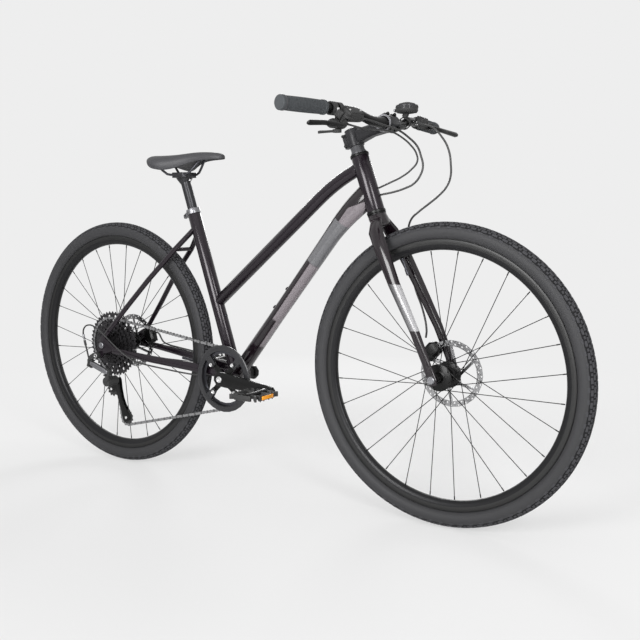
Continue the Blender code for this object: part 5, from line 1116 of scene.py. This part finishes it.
class BIKE_OT_cassette(bpy.types.Operator):
    """Cassette with its lock ring"""
    bl_idname = "bike.cassette"
    bl_label = "Cassette"

    def execute(self, context):
        cogs = refined("cassette", 0.0)
        drill = []
        for ring_r, count, radius in ((0.082, 20, 0.0042), (0.070, 16, 0.0044), (0.056, 14, 0.0036),
                                      (0.045, 10, 0.0036)):
            at = REAR_AXLE + X * ring_r
            tool = bar("drill", at - Y * 0.080, at - Y * 0.020, radius, 10)
            drill.append(copies(tool, round_axis(REAR_AXLE, "Y", count, ring_r * 40)))
        cutter = join(drill, "cutter")
        modify(cogs, "BOOLEAN", operation="DIFFERENCE", object=cutter, solver="EXACT")
        bpy.data.objects.remove(cutter)
        finish(smooth(cogs, 30), "cassette", "cog_steel", "cassette")
        low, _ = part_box("cassette")
        profile = [(0.0120, 0.0), (0.0165, 0.0), (0.0172, -0.0006), (0.0172, -0.0026), (0.0120, -0.0026)]
        ring = lathe("cassette_lock_ring", profile, REAR_AXLE + Y * (low[1] + 0.0012), -Y, 36, angle=30)
        finish(ring, "cassette", "silver_steel")
        return finished()


class BIKE_OT_derailleur(bpy.types.Operator):
    """Rear derailleur: body, link, knuckle, cage and pulleys with their bolts"""
    bl_idname = "bike.derailleur"
    bl_label = "Rear derailleur"

    def execute(self, context):
        dressed("derailleur_body", "frame", "black_plastic")
        dressed("derailleur_link", "derailleur_link", "grey_alloy")
        dressed("derailleur_knuckle", "derailleur_knuckle", "black_plastic")
        dressed("derailleur_cage", "derailleur_cage", "black_alloy", 0.0006, 2)
        for name, centre in (("guide_pulley", GUIDE), ("tension_pulley", TENSION)):
            dressed(name, name, "black_plastic", 0.0004, 1)
            bolt = cap_bolt(name + "_bolt", centre - Y * 0.0068, -Y, 0.0042, 0.0022)
            finish(bolt, "derailleur_cage", "silver_steel")
        low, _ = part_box("derailleur_body")
        root = Vector((-0.548, low[1] + 0.0008, 0.328))
        bolt = cap_bolt("derailleur_mount_bolt", root, -Y, 0.0060, 0.0030)
        finish(bolt, "frame", "silver_steel")
        return finished()


class BIKE_OT_pedals(bpy.types.Operator):
    """Platform pedals: an open cage round a spindle barrel, with grip pins and reflectors"""
    bl_idname = "bike.pedals"
    bl_label = "Pedals"

    def execute(self, context):
        for side, name in ((-1, "right"), (1, "left")):
            body = "pedal_" + name
            eye = CRANK_EYE[side]
            middle_y = eye.y + side * 0.062
            centre = Vector((eye.x, middle_y, eye.z))
            self.cage(centre, side, name, body)
            barrel = [
                (0.0, -0.0540), (0.0075, -0.0540), (0.0085, -0.0470), (0.0100, -0.0400), (0.0088, -0.0300),
                (0.0080, 0.0), (0.0092, 0.0300), (0.0092, 0.0400), (0.0070, 0.0430), (0.0, 0.0430),
            ]
            core = lathe("pedal_barrel_" + name, barrel, centre, Y * side, 28, closed=False, angle=40)
            finish(core, body, "black_alloy")
            stub = bar("pedal_stub_" + name, eye - Y * side * 0.005, eye + Y * side * 0.016, 0.0058, 20)
            finish(stub, body, "silver_steel")
            made = []
            for way in (-1, 1):
                spot = Matrix.Translation(centre + X * way * 0.0432)
                made.append(block("reflector", (0.0024, 0.044, 0.0095), spot, 0.0008, 2))
            finish(join(made, "pedal_reflectors_" + name), body, "reflector")
        return finished()

    def cage(self, centre, side, name, body):
        parts = []
        for way in (-1, 1):
            fore = Matrix.Translation(centre + X * way * 0.0390)
            parts.append(block("bar", (0.0065, 0.060, 0.0135), fore, 0.0016))
            out = Matrix.Translation(centre + Y * way * 0.0445)
            parts.append(block("end", (0.052, 0.0060, 0.0130), out, 0.0016))
            for turn in (-1, 1):
                lean = Matrix.Translation(centre + X * way * 0.0330 + Y * turn * 0.0372)
                lean = lean @ Matrix.Rotation(math.radians(-45 * way * turn), 4, "Z")
                parts.append(block("corner", (0.0060, 0.0230, 0.0132), lean, 0.0016))
                rib = Matrix.Translation(centre + X * way * 0.0220 + Y * turn * 0.0200)
                parts.append(block("rib", (0.0300, 0.0045, 0.0100), rib, 0.0012))
                for y in (0.010, 0.024):
                    at = centre + X * way * 0.0390 + Y * turn * y
                    parts.append(bar("pin", at - Z * 0.0095, at + Z * 0.0095, 0.0014, 8))
        finish(join(parts, "pedal_cage_" + name), body, "black_plastic", "pedal_" + name)


# Saddle and post


class BIKE_OT_saddle(bpy.types.Operator):
    """Saddle: padded cover, rails, and the post with its clamp bolts"""
    bl_idname = "bike.saddle"
    bl_label = "Saddle and post"

    def execute(self, context):
        pad = refined("saddle", 0.0, name="saddle_pad", soft=2)
        finish(pad, "seatpost", "saddle_cover", "saddle")
        dressed("saddle_rails", "seatpost", "dark_steel", 0.0010, 2)
        dressed("seatpost", "seatpost", "post_satin", 0.0010, 2)
        bolt = cap_bolt("saddle_clamp_bolt", POST_TOP + Vector((0.016, 0, 0.004)), UP_SEAT, 0.0042, 0.0050)
        finish(bolt, "seatpost", "silver_steel")
        return finished()


# Cockpit


class BIKE_OT_bar(bpy.types.Operator):
    """Handlebar, stem, faceplate, spacers and top cap"""
    bl_idname = "bike.bar"
    bl_label = "Handlebar and stem"

    def execute(self, context):
        finish(refined("handlebar", 0.0, soft=1), "steering", "black_alloy", "handlebar")
        dressed("stem", "steering", "stem_satin")
        dressed("stem_faceplate", "steering", "stem_satin", 0.0010, 2)
        self.bolts()
        dressed("headset_spacers", "steering", "spacer_grey", 0.0006, 2)
        return finished()

    def bolts(self):
        """Four faceplate bolts, two steerer bolts, the top cap and the clamp's light edges."""
        along = Vector((0.940, 0, 0.341))
        up = Vector((-along.z, 0, along.x))
        radius = sizes().bolt_radius
        made = []
        for h in (-1, 1):
            for y in (-1, 1):
                at = BAR_CENTRE + along * 0.0150 + up * h * 0.0170 + Y * y * 0.0160
                made.append(cap_bolt("bolt", at, along, radius, 0.0060))
                made.append(block("lug", (0.0120, 0.0090, 0.0090), Matrix.Translation(at - along * 0.0080)
                                  @ up.to_track_quat("Z", "Y").to_matrix().to_4x4(), 0.0020))
            mid = HEAD_TOP + UP_HEAD * (0.0410 + h * 0.0125) - FORE_HEAD * 0.0235
            made.append(bar("steerer_bolt", mid - Y * 0.0130, mid + Y * 0.0130, radius * 0.86, 16))
        finish(join(made, "stem_bolts"), "steering", "black_alloy")
        top = HEAD_TOP + UP_HEAD * 0.0600
        cap = [(0.0, 0.0045), (0.0040, 0.0045), (0.0046, 0.0030), (0.0150, 0.0030), (0.0190, 0.0018),
               (0.0194, 0.0004), (0.0188, 0.0), (0.0, 0.0)]
        lid = lathe("stem_top_cap", cap, top, UP_HEAD, 40, closed=False, angle=30)
        finish(lid, "steering", "black_alloy")
        ring = [(0.0161, -0.0006), (0.0205, -0.0006), (0.0205, 0.0006), (0.0161, 0.0006)]
        rings = [lathe("ring", ring, BAR_CENTRE + Y * y, Y, 40, angle=30) for y in (-0.0215, 0.0215)]
        finish(join(rings, "stem_clamp_edges"), "steering", "grey_alloy")


class BIKE_OT_grips(bpy.types.Operator):
    """Grips: grooved rubber with an end cap and a lock ring"""
    bl_idname = "bike.grips"
    bl_label = "Grips"

    def execute(self, context):
        groove = sizes().grip_groove
        for side, name in ((-1, "right"), (1, "left")):
            inner = bar_point(side, BAR_HALF - 0.130)
            end = bar_point(side, BAR_HALF)
            axis = (end - inner).normalized()
            long_ = (end - inner).length
            profile = [(0.0114, 0.0), (0.0158, 0.0), (0.0162, 0.0008), (0.0162, 0.0072), (0.0152, 0.0080)]
            count = 26
            start = 0.0090
            pitch = (long_ - 0.012 - start) / count
            for i in range(count):
                h = start + pitch * i
                swell = 0.0152 + 0.0006 * math.sin(math.pi * i / count)
                profile += [(swell, h), (swell, h + pitch * 0.62), (swell - groove, h + pitch * 0.72),
                            (swell - groove, h + pitch * 0.92)]
            profile += [(0.0160, long_ - 0.0110), (0.0163, long_ - 0.0080), (0.0160, long_ - 0.0024),
                        (0.0140, long_ - 0.0004), (0.0, long_), (0.0, long_ - 0.0028),
                        (0.0114, long_ - 0.0028)]
            piece = lathe("grip_body_" + name, profile, inner, axis, 40, angle=30)
            finish(piece, "steering", "grip_rubber", "grip_" + name)
            ring = [(0.0150, 0.0), (0.0164, 0.0002), (0.0166, 0.0010), (0.0166, 0.0026), (0.0164, 0.0034),
                    (0.0150, 0.0036)]
            band = lathe("grip_ring_" + name, ring, inner + axis * (long_ - 0.0120), axis, 40, angle=30)
            finish(band, "steering", "spacer_grey")
        return finished()


class BIKE_OT_controls(bpy.types.Operator):
    """Brake levers, shifter and bell"""
    bl_idname = "bike.controls"
    bl_label = "Controls"

    def execute(self, context):
        for name in ("right", "left"):
            dressed("brake_lever_body_" + name, "steering", "black_plastic")
            dressed("brake_lever_" + name, "brake_lever_" + name, "black_alloy")
        dressed("shifter", "steering", "black_plastic")
        dressed("shift_lever", "shift_lever", "black_plastic", 0.0008, 2)
        dressed("bell", "steering", "black_plastic", 0.0006, 3)
        _, high = (Vector(v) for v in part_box("bell"))
        crown = Vector((BELL.x, BELL.y, high.z - 0.0120))
        knob = block("knob", (0.0030, 0.0036, 0.0060), Matrix.Translation(crown + X * 0.0262), 0.0008, 1)
        finish(copies(knob, round_axis(crown, "Z", 26), "bell_knurl"), "steering", "black_plastic")
        band = [(0.0255, -0.0050), (0.0268, -0.0050), (0.0268, 0.0050), (0.0255, 0.0050)]
        finish(lathe("bell_band", band, crown, Z, 48, angle=30), "steering", "control_satin")
        self.reservoirs()
        dressed("bell_striker", "bell_striker", "grey_alloy", 0.0004, 2)
        return finished()

    def reservoirs(self):
        """Brake fluid reservoirs on the master cylinders, with lids, screws, clamps and hose nuts."""
        for side, name in ((-1, "right"), (1, "left")):
            body_axis = bar_direction(side, 0.165) * side
            out = Vector((math.cos(LEVER_SLOPE[side]), 0, -math.sin(LEVER_SLOPE[side])))
            up = out.cross(body_axis).normalized() * side
            if up.z < 0:
                up = -up
            turn = Matrix((body_axis, out, up)).transposed().to_4x4()
            centre = bar_point(side, 0.158) + out * 0.0255 + up * 0.0085
            parts = [
                block("tank", (0.046, 0.0230, 0.0130), Matrix.Translation(centre) @ turn, 0.0030, 3),
                block("lid", (0.040, 0.0185, 0.0030), Matrix.Translation(centre + up * 0.0075) @ turn),
            ]
            finish(join(parts, "brake_reservoir_" + name), "steering", "black_plastic")
            bolts = [cap_bolt("screw", centre + up * 0.0092 + body_axis * s * 0.0165, up, 0.0024, 0.0018)
                     for s in (-1, 1)]
            clamp = bar_point(side, 0.196) + out * 0.0145 + up * 0.0100
            bolts += [cap_bolt("clamp_bolt", clamp, up, 0.0032, 0.0040)]
            nut_at = bar_point(side, 0.1262) + out * 0.026
            outward = body_axis * side
            bolts.append(bar("hose_nut", nut_at - outward * 0.0040, nut_at + outward * 0.0070, 0.0048, 6))
            finish(join(bolts, "brake_screws_" + name), "steering", "silver_steel")


# Stage

FLOOR_SHARE = 0.5
FLOOR_GLOW = (0.600, 0.990)
FLOOR_BLEND = (1.0, 2.3)
LAMP_FOOT = (0.5, -2.6, 0)
FLOOR_REACH = (1.7, 3.0)
BACKGROUND = 0.855
CAMERA_PLACE = Vector((1.4268, -1.8254, 0.7304))
CAMERA_YAW = 0.5962
CAMERA_PITCH = math.radians(6.766)
CAMERA_ROLL = math.radians(0.416)
CAMERA_LENS = 49.476
CAMERA_SENSOR = 36


class BIKE_OT_stage(bpy.types.Operator):
    """Pale floor, even light, softboxes and the camera"""
    bl_idname = "bike.stage"
    bl_label = "Stage and camera"

    def execute(self, context):
        self.floor()
        self.world()
        self.lamps()
        self.camera()
        return finished()

    def floor(self):
        clear()
        bpy.ops.mesh.primitive_plane_add(size=60, location=(0, 0, -0.0004))
        floor = bpy.context.object
        floor.name = "floor"
        settle(floor)
        mat, tree, shader, coords = nodes_of("floor")
        set_shader(shader, 0.0, 1.0, 0.0, 0.0)
        noise = grain(tree, shader, coords, 60, 0.0)
        tree.links.new(shade(tree, noise, (0.86, 0.86, 0.86), 0.002), shader.inputs["Base Color"])
        glow = add_node(tree, "Emission")
        glow.inputs["Color"].default_value = (1, 1, 1, 1)
        level = self.by_distance(tree, coords, LAMP_FOOT, FLOOR_REACH, FLOOR_GLOW)
        far = self.by_distance(tree, coords, (0, 0, 0), FLOOR_BLEND, (0.0, 1.0))
        even = add_node(tree, "Mix", far)
        even.inputs["B"].default_value = BACKGROUND
        tree.links.new(level, even.inputs["A"])
        tree.links.new(even.outputs["Result"], glow.inputs["Strength"])
        path = add_node(tree, "LightPath")
        part = self.by_distance(tree, coords, (0, 0, 0), FLOOR_BLEND, (FLOOR_SHARE, 1.0))
        share = add_node(tree, "Math", path.outputs["Is Camera Ray"], operation="MULTIPLY")
        tree.links.new(part, share.inputs[1])
        mix = add_node(tree, "MixShader", share.outputs["Value"])
        tree.links.new(shader.outputs[0], mix.inputs[1])
        tree.links.new(glow.outputs[0], mix.inputs[2])
        tree.links.new(mix.outputs[0], tree.nodes["Material Output"].inputs["Surface"])
        floor.data.materials.append(mat)

    def by_distance(self, tree, coords, centre, distances, values):
        """A value that changes evenly with the distance from a point on the floor."""
        away = add_node(tree, "VectorMath", coords.outputs["Object"], operation="DISTANCE")
        away.inputs[1].default_value = centre
        level = add_node(tree, "MapRange", away.outputs["Value"])
        for socket, value in zip(("From Min", "From Max", "To Min", "To Max"), distances + values):
            level.inputs[socket].default_value = value
        return level.outputs["Result"]

    def world(self):
        world = bpy.data.worlds.new("studio")
        bpy.context.scene.world = world
        world.use_nodes = True
        tree = world.node_tree
        back = tree.nodes["Background"]
        back.inputs["Color"].default_value = (BACKGROUND, BACKGROUND, BACKGROUND, 1)
        back.inputs["Strength"].default_value = 1.0
        light = add_node(tree, "Background")
        light.inputs["Color"].default_value = (1, 1, 1, 1)
        light.inputs["Strength"].default_value = 0.30
        path = add_node(tree, "LightPath")
        seen = path.outputs["Is Camera Ray"]
        for ray in ("Is Glossy Ray", "Is Transmission Ray"):
            either = add_node(tree, "Math", seen, operation="MAXIMUM")
            tree.links.new(path.outputs[ray], either.inputs[1])
            seen = either.outputs["Value"]
        mix = add_node(tree, "MixShader", seen)
        tree.links.new(light.outputs[0], mix.inputs[1])
        tree.links.new(back.outputs[0], mix.inputs[2])
        tree.links.new(mix.outputs[0], tree.nodes["World Output"].inputs["Surface"])

    def lamps(self):
        for name, place_, target, size, power in (
            ("strip_left", (0.25, -2.75, 1.30), (0.1, 0, 1.35), (1.30, 1.5), 80),
            ("strip_right", (2.45, -1.55, 1.30), (0.1, 0, 1.35), (0.60, 1.5), 40),
            ("strip_back", (-1.60, 2.80, 1.60), (0, 0, 1.5), (1.20, 1.2), 38),
        ):
            clear()
            bpy.ops.object.light_add(type="AREA", location=place_)
            lamp = bpy.context.object
            lamp.name = name
            lamp.data.shape = "RECTANGLE"
            lamp.data.size = size[0]
            lamp.data.size_y = size[1]
            lamp.data.energy = power
            lamp.rotation_euler = (Vector(target) - Vector(place_)).to_track_quat("-Z", "Y").to_euler()
        clear()
        slant = (math.radians(14), math.radians(8), 0)
        bpy.ops.object.light_add(type="SUN", location=(0, 0, 4), rotation=slant)
        sun = bpy.context.object
        sun.name = "overhead"
        sun.data.energy = 0.45
        sun.data.angle = math.radians(70)

    def camera(self):
        clear()
        bpy.ops.object.camera_add(location=CAMERA_PLACE)
        camera = bpy.context.object
        level = Vector((-math.sin(CAMERA_YAW), math.cos(CAMERA_YAW), 0))
        ahead = level * math.cos(CAMERA_PITCH) - Z * math.sin(CAMERA_PITCH)
        right = Vector((math.cos(CAMERA_YAW), math.sin(CAMERA_YAW), 0))
        down = ahead.cross(right)
        across = right * math.cos(CAMERA_ROLL) + down * math.sin(CAMERA_ROLL)
        below = down * math.cos(CAMERA_ROLL) - right * math.sin(CAMERA_ROLL)
        turn = Matrix((across, -below, -ahead)).transposed().to_4x4()
        camera.matrix_world = Matrix.Translation(CAMERA_PLACE) @ turn
        camera.data.lens = CAMERA_LENS
        camera.data.sensor_width = CAMERA_SENSOR
        bpy.context.scene.camera = camera
        bpy.context.scene.view_settings.view_transform = "Standard"


PIECES = (
    BIKE_OT_tyres, BIKE_OT_rims, BIKE_OT_hubs, BIKE_OT_axles, BIKE_OT_rotors, BIKE_OT_frame_tubes,
    BIKE_OT_fork, BIKE_OT_calipers, BIKE_OT_hoses, BIKE_OT_cranks, BIKE_OT_chain, BIKE_OT_cassette,
    BIKE_OT_derailleur, BIKE_OT_pedals, BIKE_OT_saddle, BIKE_OT_bar, BIKE_OT_grips, BIKE_OT_controls,
    BIKE_OT_stage,
)


class BIKE_PT_panel(bpy.types.Panel):
    """Lists the bike's operators and settings"""
    bl_idname = "BIKE_PT_panel"
    bl_label = "Hybrid Bike"
    bl_space_type = "VIEW_3D"
    bl_region_type = "UI"
    bl_category = "Hybrid Bike"

    def draw(self, context):
        for group in (context.scene.bike_sizes, context.scene.bike_colours):
            for key in group.bl_rna.properties.keys():
                if key not in ("rna_type", "name"):
                    self.layout.prop(group, key)
        for piece in PIECES:
            self.layout.operator(piece.bl_idname)


CLASSES = (BikeSizes, BikeColours) + PIECES + (BIKE_PT_panel,)


def register():
    for cls in CLASSES:
        bpy.utils.register_class(cls)
    bpy.types.Scene.bike_sizes = bpy.props.PointerProperty(type=BikeSizes)
    bpy.types.Scene.bike_colours = bpy.props.PointerProperty(type=BikeColours)


def unregister():
    del bpy.types.Scene.bike_sizes
    del bpy.types.Scene.bike_colours
    for cls in reversed(CLASSES):
        bpy.utils.unregister_class(cls)


def main():
    register()
    for piece in PIECES:
        group, name = piece.bl_idname.split(".")
        getattr(getattr(bpy.ops, group), name)()


if __name__ == "__main__":
    main()
